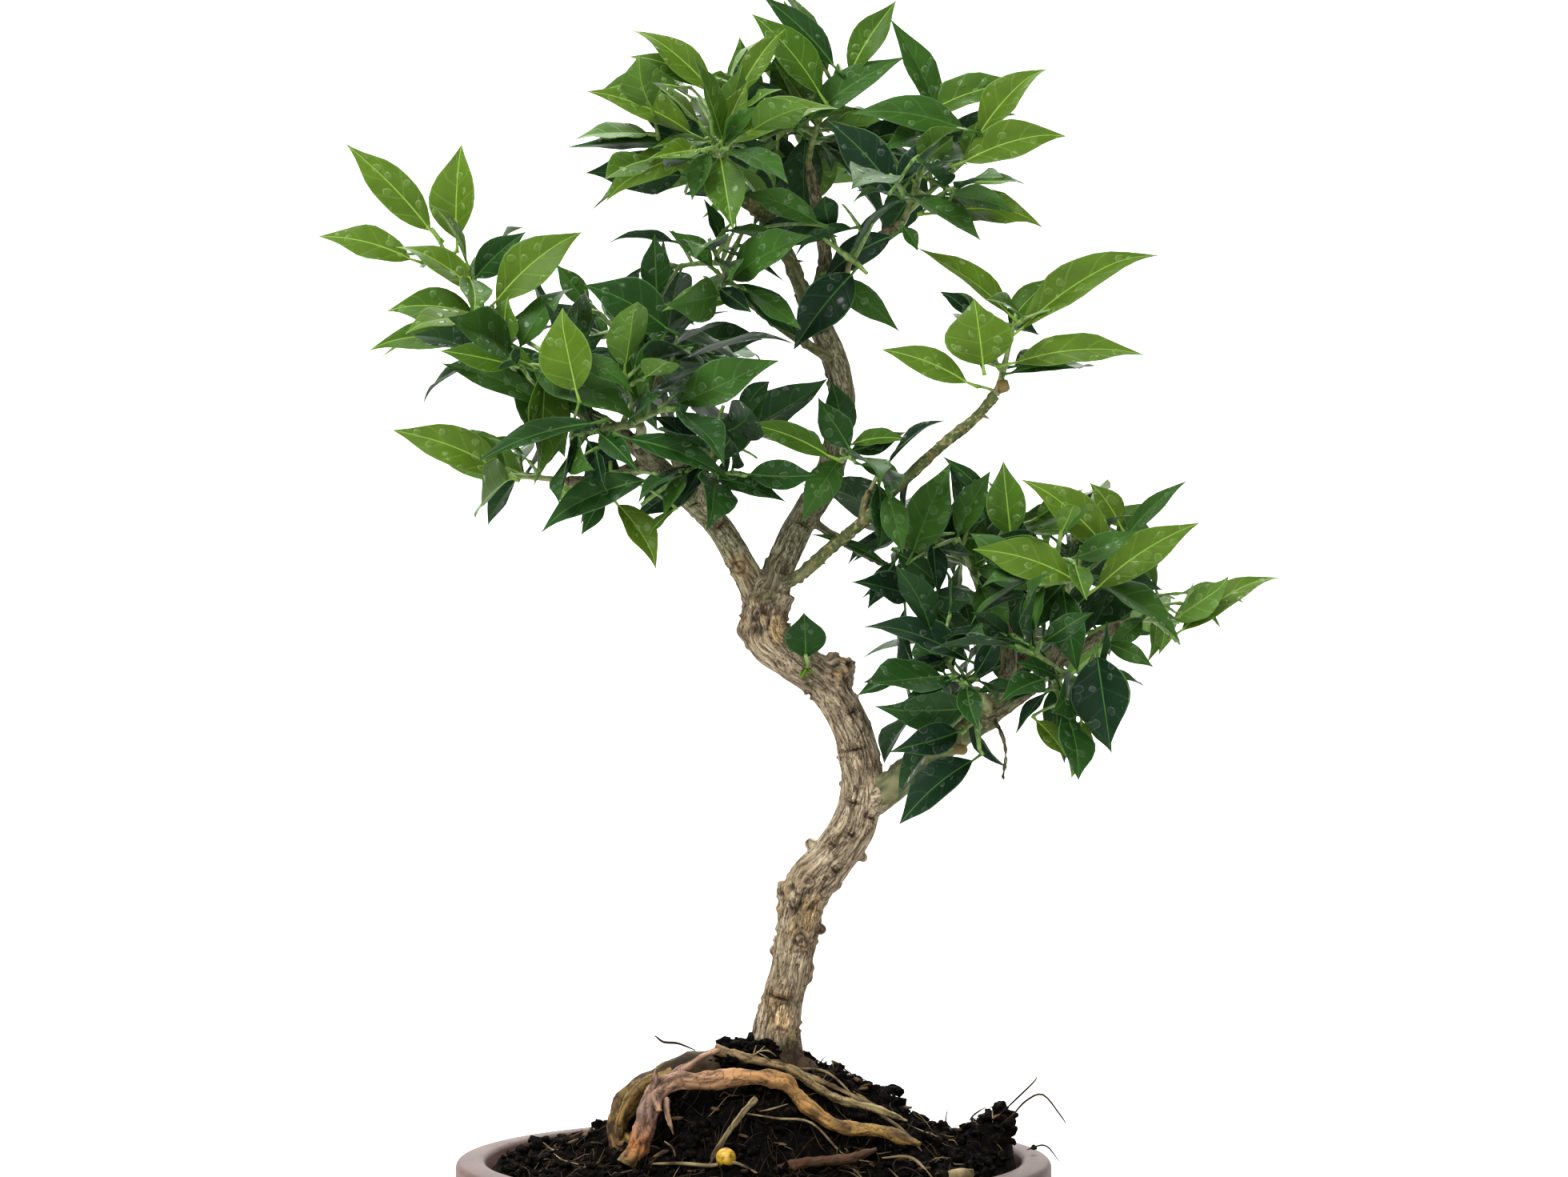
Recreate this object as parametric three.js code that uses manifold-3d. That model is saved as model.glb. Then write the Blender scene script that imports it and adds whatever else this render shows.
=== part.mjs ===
// Myrtle-leaf orange grown as a bonsai in an oval glazed pot.
// Millimetres, +Z up. The origin is the middle of the pot's flat underside.
// The viewer stands on the -Y side, with +X to the right.
import * as THREE from "three";
import { mergeVertices } from "three/addons/utils/BufferGeometryUtils.js";
import Module from "manifold-3d";

const wasm = await Module();
wasm.setup();

// Clearance between pieces that touch on the real plant. The shape that cuts a neighbour back
// stands out a little more, because its flat sides lie inside the round they stand for.
const GAP = 0.3;
const ENVELOPE = GAP * 1.2;

// The oval pot. Widths are along X, and the pot is shallower along Y by the oval share.
const POT = {
  halfWidth: 104,
  oval: 0.84,
  height: 62,
  footHalfWidth: 84,
  wall: 8,
  floor: 7,
  lipHeight: 11,
  lipStandOut: 3,
  lipWidth: 10.5,
  lipRound: 2.6,
  edgeRound: 1.4,
  footRound: 2,
  floorRound: 4,
  drainRadius: 6,
  drainOffset: 42,
  drainSides: 16,
  sides: 40,
};

// The soil fills the pot and is heaped into a mound under the tree.
// Each heap adds a soft bump: its middle, half widths along X and Y, height and steepness.
const SOIL = {
  level: 58,
  sides: 40,
  rings: [1, 0.91, 0.81, 0.7, 0.59, 0.48, 0.37, 0.25, 0.13],
  heaps: [
    { x: 0, y: 2, halfX: 46, halfY: 40, height: 34, steep: 1.5 },
    { x: 52, y: 4, halfX: 34, halfY: 32, height: 11, steep: 1 },
    { x: 86, y: 4, halfX: 12, halfY: 14, height: 15, steep: 1.2 },
    { x: -58, y: 12, halfX: 20, halfY: 26, height: 5, steep: 1 },
  ],
  crumble: 2,
  crumbleWavelength: 24,
};

// The feed pellet that lies on the front of the mound, with its middle raised by a share of its radius.
const PELLET = { x: -9, y: -44, radius: 3.4, raised: 0.7 };

// The trunk from its flat cut at ground level to its fork: x, z and radius along the S-bend.
const GROUND_CUT = 91;
const TRUNK_SIDES = 12;
const TRUNK_STEPS = 28;
const LARGE_KNOT = 4;
const TRUNK = [
  [7, 86, 12.4],
  [8, 92, 11],
  [8, 98, 9.6],
  [8, 106, 8.5],
  [10, 117, 7.3],
  [13, 128, 7.2],
  [15, 140, 7.4],
  [17, 150, 8],
  [20, 158, 8.7],
  [28, 167, 8],
  [35, 178, 8],
  [38, 189, 7.8],
  [37, 201, 7.2],
  [34, 212, 7],
  [29, 222, 6.9],
  [23, 229, 7.1],
  [14, 236, 7.7],
  [6, 243, 8.5],
  [4, 252, 8.3],
  [6, 260, 8.7],
];

// Knots that stand out of the trunk: pruning scars, the cut stub and old buds.
const KNOTS = [
  { name: "corner", at: [12, -2, 155], radius: 4.2 },
  { name: "right shoulder", at: [28, -1, 158], radius: 3.4 },
  { name: "round scar", at: [17, -5, 138], radius: 3.6 },
  { name: "cut stub", at: [30, 1, 234], radius: 5 },
  { name: "old wound", at: [5, -4, 249], radius: 6 },
  { name: "left bud", at: [-2, -2, 245], radius: 3.4 },
  { name: "root spread right", at: [17, -3, 92], radius: 5.5 },
  { name: "root spread left", at: [-3, -4, 91], radius: 6 },
];

// Boughs, each one tapering limb from inside its parent to where it enters its leaves.
const LIMB_SIDES = 7;
const BOUGH_STEP = 11;
const BOUGHS = [
  {
    name: "bough_left",
    radii: [5.4, 3.5],
    path: [[4, 0, 252], [-3, -2, 267], [-12, -4, 282], [-21, -6, 291], [-31, -9, 301], [-40, -12, 310]],
  },
  {
    name: "bough_leader",
    radii: [5.7, 4.2],
    path: [
      [4, 0, 252], [9, 2, 268], [16, 4, 283], [25, 5, 298], [29, 4, 311],
      [31, 3, 327], [28, 2, 342], [22, 2, 355], [18, 2, 365],
    ],
  },
  {
    name: "bough_green",
    radii: [2.9, 2.2],
    path: [
      [8, -2, 261], [17, -12, 266], [27, -18, 275], [37, -20, 283],
      [49, -22, 295], [65, -24, 310], [75, -25, 318], [83, -26, 327],
    ],
  },
  {
    name: "bough_right",
    radii: [6.3, 4.4],
    path: [[38, 0, 185], [47, -3, 191], [58, -6, 200], [70, -8, 209], [83, -10, 217]],
  },
  {
    name: "bough_top_left",
    radii: [2.9, 2.2],
    path: [[20, 2, 358], [14, -4, 372], [8, -8, 384], [1, -12, 392], [-9, -14, 398]],
  },
  {
    name: "bough_top_back",
    radii: [2.9, 2.1],
    path: [[20, 4, 358], [25, 10, 375], [23, 16, 393], [20, 18, 409]],
  },
  {
    name: "bough_top_right",
    radii: [3.2, 2.4],
    path: [[22, 2, 355], [29, 6, 371], [40, 4, 380], [50, 0, 387]],
  },
  { name: "bough_top_inner", radii: [2.2, 1.7], path: [[22, 1, 354], [28, -7, 361], [32, -11, 368]] },
  {
    name: "bough_mid_left",
    radii: [1.9, 1.5],
    path: [[27, 0, 341], [18, -8, 346], [6, -14, 354], [-4, -18, 362]],
  },
  {
    name: "bough_left_outer",
    radii: [3.2, 2.2],
    path: [[-36, -11, 307], [-49, -12, 316], [-61, -14, 323], [-72, -16, 330]],
  },
  {
    name: "bough_left_low",
    radii: [2.6, 2],
    path: [[-34, -10, 305], [-45, -9, 301], [-58, -8, 298], [-65, -8, 298]],
  },
  {
    name: "bough_left_back",
    radii: [3.2, 2.2],
    path: [[-22, -6, 292], [-27, 14, 308], [-31, 28, 322], [-35, 40, 336]],
  },
  { name: "bough_left_inner", radii: [2.4, 1.8], path: [[-19, -6, 290], [-17, -15, 295], [-19, -18, 300]] },
  { name: "bough_green_side", radii: [1.4, 1.2], path: [[37, -20, 283], [38, -21, 289], [40, -22, 294]] },
  { name: "bough_dark", radii: [1.5, 1.2], path: [[18, 4, 286], [33, 2, 276], [44, 0, 270], [50, 0, 267]] },
  { name: "spur_wound", radii: [2, 1.5], path: [[29, 4, 305], [30, -4, 305], [31, -10, 305]] },
  {
    name: "bough_right_up",
    radii: [3.4, 2.3],
    path: [[79, -9, 214], [89, 4, 230], [88, 10, 247], [80, 8, 258]],
  },
  {
    name: "bough_right_outer",
    radii: [3.2, 2.3],
    path: [[80, -10, 215], [99, -13, 230], [107, -16, 244], [108, -15, 255]],
  },
  { name: "bough_right_far", radii: [2.4, 2], path: [[100, -13, 231], [113, -14, 240], [127, -14, 248]] },
  {
    name: "bough_right_back",
    radii: [2.8, 2],
    path: [[72, -8, 210], [83, 16, 220], [92, 34, 229], [99, 44, 237]],
  },
  { name: "bough_right_low", radii: [2.6, 2], path: [[81, -10, 216], [90, -20, 222], [97, -24, 227]] },
  {
    name: "bare_twig",
    radii: [0.9, 0.6],
    path: [[82, -12, 216], [85, -18, 212], [87, -19, 204], [86, -19, 195]],
  },
];

// Roots that lie bare on the mound, from the thick arch to the stick stuck in the soil.
const ROOT_STEP = 9;
const ROOTS = [
  {
    name: "root_arch",
    radii: [3.9, 2],
    path: [
      [-43, -31, 64], [-38, -29, 73], [-35, -27, 85], [-29, -25, 91], [-17, -24, 92], [0, -23, 93],
      [11, -25, 91], [19, -28, 83], [30, -31, 77], [43, -33, 76], [57, -36, 72],
    ],
  },
  {
    name: "root_left",
    radii: [6.2, 3.4],
    path: [
      [-3, -6, 95], [-17, -7, 95], [-31, -9, 91], [-41, -11, 85],
      [-47, -12, 77], [-46, -15, 69], [-42, -19, 64],
    ],
  },
  {
    name: "root_crossing",
    radii: [1.9, 1.2],
    path: [[-13, -12, 101], [0, -17, 98], [13, -19, 95], [27, -20, 86], [41, -21, 82], [53, -23, 78]],
  },
  { name: "root_right", radii: [3.4, 1.8], path: [[12, -4, 94], [20, -5, 90], [31, -7, 85], [44, -9, 80]] },
  {
    name: "root_front",
    radii: [2.4, 1.5],
    path: [[1, -42, 62], [16, -41, 66], [32, -41, 68], [42, -40, 71]],
  },
  { name: "dead_stick", radii: [1.1, 0.9], path: [[1, -31, 87], [-7, -36, 78], [-16, -41, 64]] },
];

// Foliage. Each mass grows from a bough's tip: a stem runs to its heart, a shoot bends out to
// each tip, and leaves stand round every shoot by the seeded rule below.
const MASSES = [
  {
    name: "spray_upper_left",
    limb: "bough_left_outer",
    leaf: 44,
    seed: 181,
    heart: [-82, -16, 336],
    tips: [[-111, -18, 385], [-94, -28, 357], [-76, -36, 332], [-62, -42, 333]],
  },
  {
    name: "leaves_left_back",
    limb: "bough_left_back",
    seed: 176,
    heart: [-42, 44, 346],
    tips: [[-60, 40, 364], [-30, 24, 358], [-46, 66, 344], [-22, 54, 347], [-74, 34, 344]],
  },
  {
    name: "leaves_left_middle",
    limb: "bough_left",
    seed: 137,
    heart: [-40, -26, 317],
    tips: [[-62, -36, 312], [-44, -38, 334], [-26, -46, 321], [-28, -24, 338], [-48, -40, 300]],
  },
  {
    name: "leaves_left_low",
    limb: "bough_left_inner",
    seed: 44,
    heart: [-16, -26, 304],
    tips: [[-12, -38, 298], [-38, -34, 289], [-10, -32, 323], [-3, -10, 314]],
  },
  {
    name: "spray_low_left",
    limb: "bough_left_low",
    leaf: 42,
    seed: 69,
    heart: [-73, -9, 299],
    tips: [[-92, -16, 300], [-84, 16, 302]],
  },
  {
    name: "leaves_top_left",
    limb: "bough_top_left",
    seed: 201,
    heart: [-12, -17, 404],
    tips: [[-15, -24, 425], [-35, -24, 413], [-5, -6, 431], [-8, -46, 409], [-24, 4, 400]],
  },
  {
    name: "leaves_top_middle",
    limb: "bough_top_back",
    seed: 1059,
    heart: [20, 21, 417],
    tips: [[30, 12, 446], [19, 40, 434], [40, 42, 424], [2, 32, 422], [10, 52, 410]],
  },
  {
    name: "leaves_top_right",
    limb: "bough_top_right",
    seed: 151,
    heart: [54, -2, 393],
    tips: [[64, -4, 425], [79, -10, 414], [47, -28, 402], [70, -20, 391], [62, 34, 413]],
  },
  {
    name: "leaves_middle",
    limb: "bough_mid_left",
    seed: 105,
    heart: [-9, -22, 368],
    tips: [[-15, -30, 380], [-11, -42, 359], [-3, -14, 386], [-28, -8, 372]],
  },
  {
    name: "leaves_leader",
    limb: "bough_top_inner",
    seed: 9,
    heart: [34, -15, 374],
    tips: [[39, -22, 369], [41, -26, 386], [24, -24, 381]],
  },
  {
    name: "leaves_wound",
    limb: "spur_wound",
    leaf: 29,
    seed: 150,
    heart: [31, -17, 307],
    tips: [[31, -22, 311], [34, -26, 305]],
  },
  {
    name: "spray_right_upper",
    limb: "bough_green",
    leaf: 44,
    seed: 605,
    heart: [85, -27, 333],
    tips: [[90, -30, 355], [77, -36, 338]],
  },
  {
    name: "leaves_green_side",
    limb: "bough_green_side",
    leaf: 28,
    seed: 97,
    heart: [43, -25, 300],
    tips: [[46, -28, 303]],
  },
  {
    name: "leaves_right_inner",
    limb: "bough_dark",
    seed: 49,
    heart: [56, -3, 268],
    tips: [[60, -12, 280], [52, -4, 256], [56, 14, 285]],
  },
  {
    name: "leaves_right_top",
    limb: "bough_right_up",
    seed: 173,
    heart: [78, 6, 264],
    tips: [[71, -12, 278], [90, -10, 282], [80, 32, 276], [60, 30, 272]],
  },
  {
    name: "leaves_right_middle",
    limb: "bough_right_outer",
    seed: 104,
    heart: [109, -15, 261],
    tips: [[121, -22, 272], [101, -38, 272], [114, 8, 285], [96, -46, 262]],
  },
  {
    name: "spray_right_outer",
    limb: "bough_right_far",
    leaf: 42,
    seed: 310,
    heart: [133, -15, 250],
    tips: [[147, -18, 249], [139, 8, 259]],
  },
  {
    name: "leaves_right_low",
    limb: "bough_right_low",
    seed: 78,
    heart: [103, -30, 232],
    tips: [[118, -38, 226], [106, -44, 219], [88, -50, 242], [108, -46, 246]],
  },
  {
    name: "leaves_right_front",
    limb: "bough_right",
    seed: 124,
    heart: [76, -26, 225],
    tips: [[77, -36, 206], [66, -44, 231], [61, -36, 246], [54, -20, 223]],
  },
  {
    name: "leaves_right_back",
    limb: "bough_right_back",
    seed: 89,
    heart: [101, 47, 241],
    tips: [[75, 46, 242], [105, 62, 259], [125, 56, 245], [118, 46, 227]],
  },
  {
    name: "leaf_on_trunk",
    limb: "trunk",
    from: [19, 0, 233],
    leaf: 16,
    seed: 620,
    heart: [19, -14, 235],
    tips: [[18, -16, 238]],
  },
];

// One leaf: length, and the shares of that length that its other sizes are.
const LEAF = {
  length: 40,
  halfWidth: 0.235,
  keel: 0.024,
  droop: 0.16,
  shoulder: 0.42,
  neck: 0.74,
  neckShare: 0.68,
  stalk: 0.12,
};

// How shoots branch and how leaves stand round them. Spacings are in millimetres and turns in degrees.
const SHOOT = {
  radii: [1.3, 0.8],
  stemShare: 0.8,
  sides: 3,
  steps: 2,
  leaderSteps: 4,
  bow: 0.16,
  firstBranch: 0.4,
  lastBranch: 0.8,
  leafSpacing: 8,
  fewest: 2,
  most: 6,
  pitch: 5.4,
  leafyShare: 0.92,
  lowestLeaf: 0.05,
  sunk: 1.8,
  turn: 137.5,
  turnSpread: 14,
  firstSpread: 16,
  lastSpread: 78,
  spreadPower: 0.6,
  spreadJitter: 9,
  shortest: 0.84,
  longest: 1.14,
  lowerLoss: 0.12,
  lift: 0.1,
  depthShare: 0.7,
  twist: 25,
};

const UP = new THREE.Vector3(0, 0, 1);
const AWAY = new THREE.Vector3(0, 1, 0);
const SIDEWAYS = new THREE.Vector3(1, 0, 0);

const toVector = ([x, y, z]) => new THREE.Vector3(x, y, z);
const radians = THREE.MathUtils.degToRad;
const mix = THREE.MathUtils.lerp;

// Repeatable draws: the same seed always gives the same numbers.
function drawsFrom(seed) {
  let state = (seed * 7919) % 2 ** 32;
  function next() {
    state = (state * 1664525 + 1013904223) % 2 ** 32;
    return state / 2 ** 32;
  }
  next();
  next();
  return (low, high) => low + (high - low) * next();
}

// A closed mesh becomes a solid that can be joined and cut.
function solidOf(geometry) {
  const bare = geometry.clone();
  bare.deleteAttribute("normal");
  bare.deleteAttribute("uv");
  const merged = mergeVertices(bare, 1e-4);
  return new wasm.Manifold(
    new wasm.Mesh({
      numProp: 3,
      vertProperties: merged.attributes.position.array,
      triVerts: new Uint32Array(merged.index.array),
    }),
  );
}

// The largest body of a solid, with sealed hollows filled and loose scraps dropped.
function mainBody(solid) {
  let largest = null;
  for (const body of solid.decompose()) {
    if (!largest || body.volume() > largest.volume()) {
      largest = body;
    }
  }
  return largest;
}

function geometryOf(solid) {
  const mesh = solid.getMesh();
  const geometry = new THREE.BufferGeometry();
  geometry.setAttribute("position", new THREE.BufferAttribute(new Float32Array(mesh.vertProperties), 3));
  geometry.setIndex(new THREE.BufferAttribute(new Uint32Array(mesh.triVerts), 1));
  return geometry;
}

// Evenly numbered rings along a curve, carried on without twisting.
function ringsAlong(curve, steps) {
  const rings = [];
  let across = null;
  for (let i = 0; i <= steps; i++) {
    const share = i / steps;
    const before = curve.getPoint(Math.max(0, share - 0.01));
    const after = curve.getPoint(Math.min(1, share + 0.01));
    const along = after.sub(before).normalize();
    if (!across) {
      across = new THREE.Vector3().crossVectors(Math.abs(along.y) < 0.9 ? AWAY : SIDEWAYS, along);
    }
    across = across.clone().addScaledVector(along, -across.dot(along)).normalize();
    const up = new THREE.Vector3().crossVectors(across, along);
    rings.push({ centre: curve.getPoint(share), across, up, along });
  }
  return rings;
}

// A closed tube whose radius follows its length. A swollen tube also stands out past both ends.
function tube(curve, radiusAt, sides, steps, swell = 0) {
  const geometry = new THREE.CylinderGeometry(1, 1, 1, sides, steps);
  const rings = ringsAlong(curve, steps);
  rings[0].centre.addScaledVector(rings[0].along, -swell);
  rings[steps].centre.addScaledVector(rings[steps].along, swell);
  const position = geometry.attributes.position;
  for (let i = 0; i < position.count; i++) {
    const share = position.getY(i) + 0.5;
    const ring = rings[Math.round(share * steps)];
    const radius = radiusAt(share) + swell;
    const place = ring.centre.clone();
    place.addScaledVector(ring.across, position.getX(i) * radius);
    place.addScaledVector(ring.up, position.getZ(i) * radius);
    position.setXYZ(i, place.x, place.y, place.z);
  }
  return solidOf(geometry);
}

const smoothPath = (points) => new THREE.CatmullRomCurve3(points.map(toVector), false, "catmullrom", 0.5);

// A limb and the slightly fatter shape that its neighbours are cut back from.
function makeLimb({ name, path, radii }, stepLength) {
  const curve = smoothPath(path);
  const steps = Math.max(3, Math.round(curve.getLength() / stepLength));
  const radiusAt = (share) => mix(radii[0], radii[1], share);
  return {
    name,
    solid: tube(curve, radiusAt, LIMB_SIDES, steps),
    envelope: tube(curve, radiusAt, LIMB_SIDES, steps, ENVELOPE),
  };
}

function makeTrunk() {
  const curve = smoothPath(TRUNK.map(([x, z]) => [x, 0, z]));
  const radiusAt = (share) => {
    const place = share * (TRUNK.length - 1);
    const lower = Math.min(Math.floor(place), TRUNK.length - 2);
    return mix(TRUNK[lower][2], TRUNK[lower + 1][2], place - lower);
  };
  const wood = (swell) => {
    const pieces = [tube(curve, radiusAt, TRUNK_SIDES, TRUNK_STEPS, swell)];
    for (const knot of KNOTS) {
      const ball = new THREE.IcosahedronGeometry(knot.radius + swell, knot.radius > LARGE_KNOT ? 1 : 0);
      ball.translate(...knot.at);
      pieces.push(solidOf(ball));
    }
    const below = new THREE.BoxGeometry(GROUND_CUT, GROUND_CUT, GROUND_CUT);
    below.translate(TRUNK[0][0], 0, GROUND_CUT / 2 - swell);
    return wasm.Manifold.union(pieces).subtract(solidOf(below));
  };
  return { name: "trunk", solid: wood(0), envelope: wood(ENVELOPE) };
}

// Whether two solids' boxes come within the clearance of each other.
function boxesMeet(a, b) {
  const one = a.boundingBox();
  const two = b.boundingBox();
  return [0, 1, 2].every((i) => one.min[i] < two.max[i] + GAP && two.min[i] < one.max[i] + GAP);
}

// A solid cut back from the envelopes of its neighbours.
function cutBack(solid, neighbours) {
  let rest = solid;
  for (const { envelope } of neighbours) {
    if (boxesMeet(rest, envelope)) {
      rest = rest.subtract(envelope);
    }
  }
  return mainBody(rest);
}

const standsClear = (solid, others) =>
  others.every((other) => !boxesMeet(solid, other) || solid.minGap(other, 2 * GAP) >= GAP);

// The height of the soil's surface.
function groundAt(x, y) {
  let height = SOIL.level;
  for (const heap of SOIL.heaps) {
    const spread = ((x - heap.x) / heap.halfX) ** 2 + ((y - heap.y) / heap.halfY) ** 2;
    height += heap.height * Math.exp(-(spread ** heap.steep));
  }
  const wave = (2 * Math.PI) / SOIL.crumbleWavelength;
  return height + SOIL.crumble * Math.sin(x * wave) * Math.cos(y * wave * 1.3 + x * 0.1);
}

// Turns a closed half outline about Z and presses it into the pot's oval.
function ovalSolid(outline, sides) {
  const points = outline.map(([x, z]) => new THREE.Vector2(x, z));
  const geometry = new THREE.LatheGeometry(points, sides);
  geometry.rotateX(Math.PI / 2);
  geometry.scale(1, POT.oval, 1);
  return geometry;
}

// Half the pot's inner width at a height, from the floor up to the rim.
const innerHalfWidth = (z) => {
  const share = (z - POT.floor) / (POT.height - POT.floor);
  return mix(POT.footHalfWidth - POT.wall, POT.halfWidth - POT.lipWidth, share);
};

function makePot() {
  const { halfWidth, height, footHalfWidth, floor, lipStandOut, lipWidth } = POT;
  const { footRound, lipRound, edgeRound, floorRound } = POT;
  const lipUnder = height - POT.lipHeight;
  const outline = [
    [0, 0],
    [footHalfWidth - footRound, 0],
    [footHalfWidth, footRound],
    [halfWidth - lipStandOut, lipUnder],
    [halfWidth - lipRound / 4, lipUnder + lipRound / 4],
    [halfWidth, lipUnder + lipRound],
    [halfWidth, height - edgeRound * 2],
    [halfWidth - edgeRound, height - edgeRound / 2],
    [halfWidth - lipWidth + edgeRound, height],
    [halfWidth - lipWidth, height - edgeRound],
    [innerHalfWidth(floor + floorRound), floor + floorRound],
    [innerHalfWidth(floor) - floorRound, floor],
    [0, floor],
  ];
  let pot = solidOf(ovalSolid(outline, POT.sides));
  for (const side of [-1, 1]) {
    const hole = new THREE.CylinderGeometry(POT.drainRadius, POT.drainRadius, floor * 3, POT.drainSides);
    hole.rotateX(Math.PI / 2);
    hole.translate(side * POT.drainOffset, 0, 0);
    pot = pot.subtract(solidOf(hole));
  }
  return pot;
}

function makeSoil(neighbours) {
  const bottom = POT.floor + GAP;
  const corner = POT.floor + POT.floorRound;
  const edge = innerHalfWidth(SOIL.level) - GAP;
  const outline = [
    [0, bottom],
    [innerHalfWidth(POT.floor) - POT.floorRound - GAP, bottom],
    [innerHalfWidth(corner) - GAP * 2, corner + GAP],
    ...SOIL.rings.map((share) => [share * edge, SOIL.level]),
    [0, SOIL.level],
  ];
  const geometry = ovalSolid(outline, SOIL.sides);
  const position = geometry.attributes.position;
  for (let i = 0; i < position.count; i++) {
    const onEdge = Math.hypot(position.getX(i), position.getY(i) / POT.oval) > edge - 0.01;
    if (Math.abs(position.getZ(i) - SOIL.level) < 0.01 && !onEdge) {
      position.setZ(i, groundAt(position.getX(i), position.getY(i)));
    }
  }
  return cutBack(solidOf(geometry), neighbours);
}

// A leaf blade: a three-sided ball drawn out flat, with its keel below as the midrib.
function leafSolid({ base, along, face, length }) {
  const geometry = new THREE.SphereGeometry(1, 3, 3);
  const across = new THREE.Vector3().crossVectors(face, along);
  const position = geometry.attributes.position;
  const middleRing = 0.6;
  const cornerReach = 0.75;
  for (let i = 0; i < position.count; i++) {
    const height = position.getY(i);
    const inner = Math.abs(height) < middleRing;
    const lower = height < 0;
    const end = lower ? 0 : 1;
    const station = inner ? (lower ? LEAF.shoulder : LEAF.neck) : end;
    const halfWidth = inner ? LEAF.halfWidth * (lower ? 1 : LEAF.neckShare) : 0;
    const keel = inner && position.getX(i) < 0 ? LEAF.keel : 0;
    const place = base.clone();
    place.addScaledVector(along, station * length);
    place.addScaledVector(face, -(LEAF.droop * station * station + keel) * length);
    place.addScaledVector(across, (position.getZ(i) / cornerReach) * halfWidth * length);
    position.setXYZ(i, place.x, place.y, place.z);
  }
  return solidOf(geometry);
}

// The leaves round one shoot, from its tip down, each a turn of the golden angle on from the last.
// The shoot is the stretch of its curve from the foot share to the end.
function leavesRound({ curve, foot, span }, meanLength, between) {
  const count = Math.min(SHOOT.most, SHOOT.fewest + Math.round(span / SHOOT.leafSpacing));
  const pitch = Math.min(SHOOT.pitch, (span * SHOOT.leafyShare) / count);
  const leaves = [];
  let azimuth = between(0, 360);
  for (let k = 0; k < count; k++) {
    const height = Math.max(SHOOT.lowestLeaf, 1 - (SHOOT.sunk + k * pitch) / span);
    const share = mix(foot, 1, height);
    const ahead = curve
      .getPoint(Math.min(1, share + 0.05))
      .sub(curve.getPoint(Math.max(0, share - 0.05)))
      .normalize();
    azimuth += SHOOT.turn + between(-SHOOT.turnSpread, SHOOT.turnSpread);
    const lowness = k / Math.max(count - 1, 1);
    const opening = mix(SHOOT.firstSpread, SHOOT.lastSpread, lowness ** SHOOT.spreadPower);
    const spread = radians(opening + between(-SHOOT.spreadJitter, SHOOT.spreadJitter));
    const size = between(SHOOT.shortest, SHOOT.longest) * (1 - SHOOT.lowerLoss * lowness);
    const twist = radians(between(-SHOOT.twist, SHOOT.twist));
    const level = new THREE.Vector3().crossVectors(ahead, AWAY).normalize();
    const upright = new THREE.Vector3().crossVectors(ahead, level);
    const side = level.multiplyScalar(Math.cos(radians(azimuth)));
    side.addScaledVector(upright, Math.sin(radians(azimuth)));
    side.y *= SHOOT.depthShare;
    side.normalize();
    const along = ahead.clone().multiplyScalar(Math.cos(spread));
    along.addScaledVector(side, Math.sin(spread)).addScaledVector(UP, SHOOT.lift).normalize();
    const face = ahead.clone().multiplyScalar(0.8).addScaledVector(UP, 0.6).addScaledVector(side, -0.2);
    face.addScaledVector(along, -face.dot(along)).normalize().applyAxisAngle(along, twist);
    leaves.push({ base: curve.getPoint(share), along, face, length: meanLength * size });
  }
  return leaves;
}

// The shoots of one mass. The first carries the stem on from the bough through the heart to its
// tip, and the others branch from it, one above the other.
function shootsOf(mass, between) {
  const bough = BOUGHS.find(({ name }) => name === mass.limb);
  const start = toVector(mass.from ?? bough.path[bough.path.length - 1]);
  const stemRadius = bough ? bough.radii[1] * SHOOT.stemShare : SHOOT.radii[0];
  const leader = smoothPath([start.toArray(), mass.heart, mass.tips[0]]);
  return mass.tips.map((tip, i) => {
    const end = toVector(tip);
    const branching = mix(SHOOT.firstBranch, SHOOT.lastBranch, i / mass.tips.length);
    const root = i ? leader.getPoint(branching) : toVector(mass.heart);
    const span = end.distanceTo(root);
    const bow = new THREE.Vector3(between(-1, 1), between(-1, 1), between(-0.2, 1));
    const middle = root.clone().add(end).multiplyScalar(0.5).addScaledVector(bow, span * SHOOT.bow);
    const curve = i ? new THREE.QuadraticBezierCurve3(root, middle, end) : leader;
    const radii = i ? SHOOT.radii : [stemRadius, SHOOT.radii[1]];
    const shoot = { curve, foot: i ? 0 : 0.5, span, radii };
    return { ...shoot, leaves: leavesRound(shoot, mass.leaf ?? LEAF.length, between) };
  });
}

function twigOf({ curve, radii }, steps) {
  return tube(curve, (share) => mix(...radii, share), SHOOT.sides, steps);
}

// One mass of leaves. Its leader is already in place. A shoot or leaf that would touch a limb or
// another mass is skipped, and so is a leaf whose blade would pass through one of its own mass.
function makeMass({ shoots, leader }, obstacles) {
  const pieces = [];
  const outers = [];
  shoots.forEach((shoot, i) => {
    const twig = i ? twigOf(shoot, SHOOT.steps) : leader;
    if (i && !standsClear(twig, obstacles)) {
      return;
    }
    pieces.push(twig);
    for (const leaf of shoot.leaves) {
      const blade = leafSolid(leaf);
      const stalk = leaf.along.clone().multiplyScalar(LEAF.stalk * leaf.length);
      const outer = leafSolid({ ...leaf, base: leaf.base.clone().add(stalk) });
      if (standsClear(blade, obstacles) && standsClear(outer, outers)) {
        pieces.push(blade);
        outers.push(outer);
      }
    }
  });
  return mainBody(wasm.Manifold.union(pieces));
}

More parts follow.
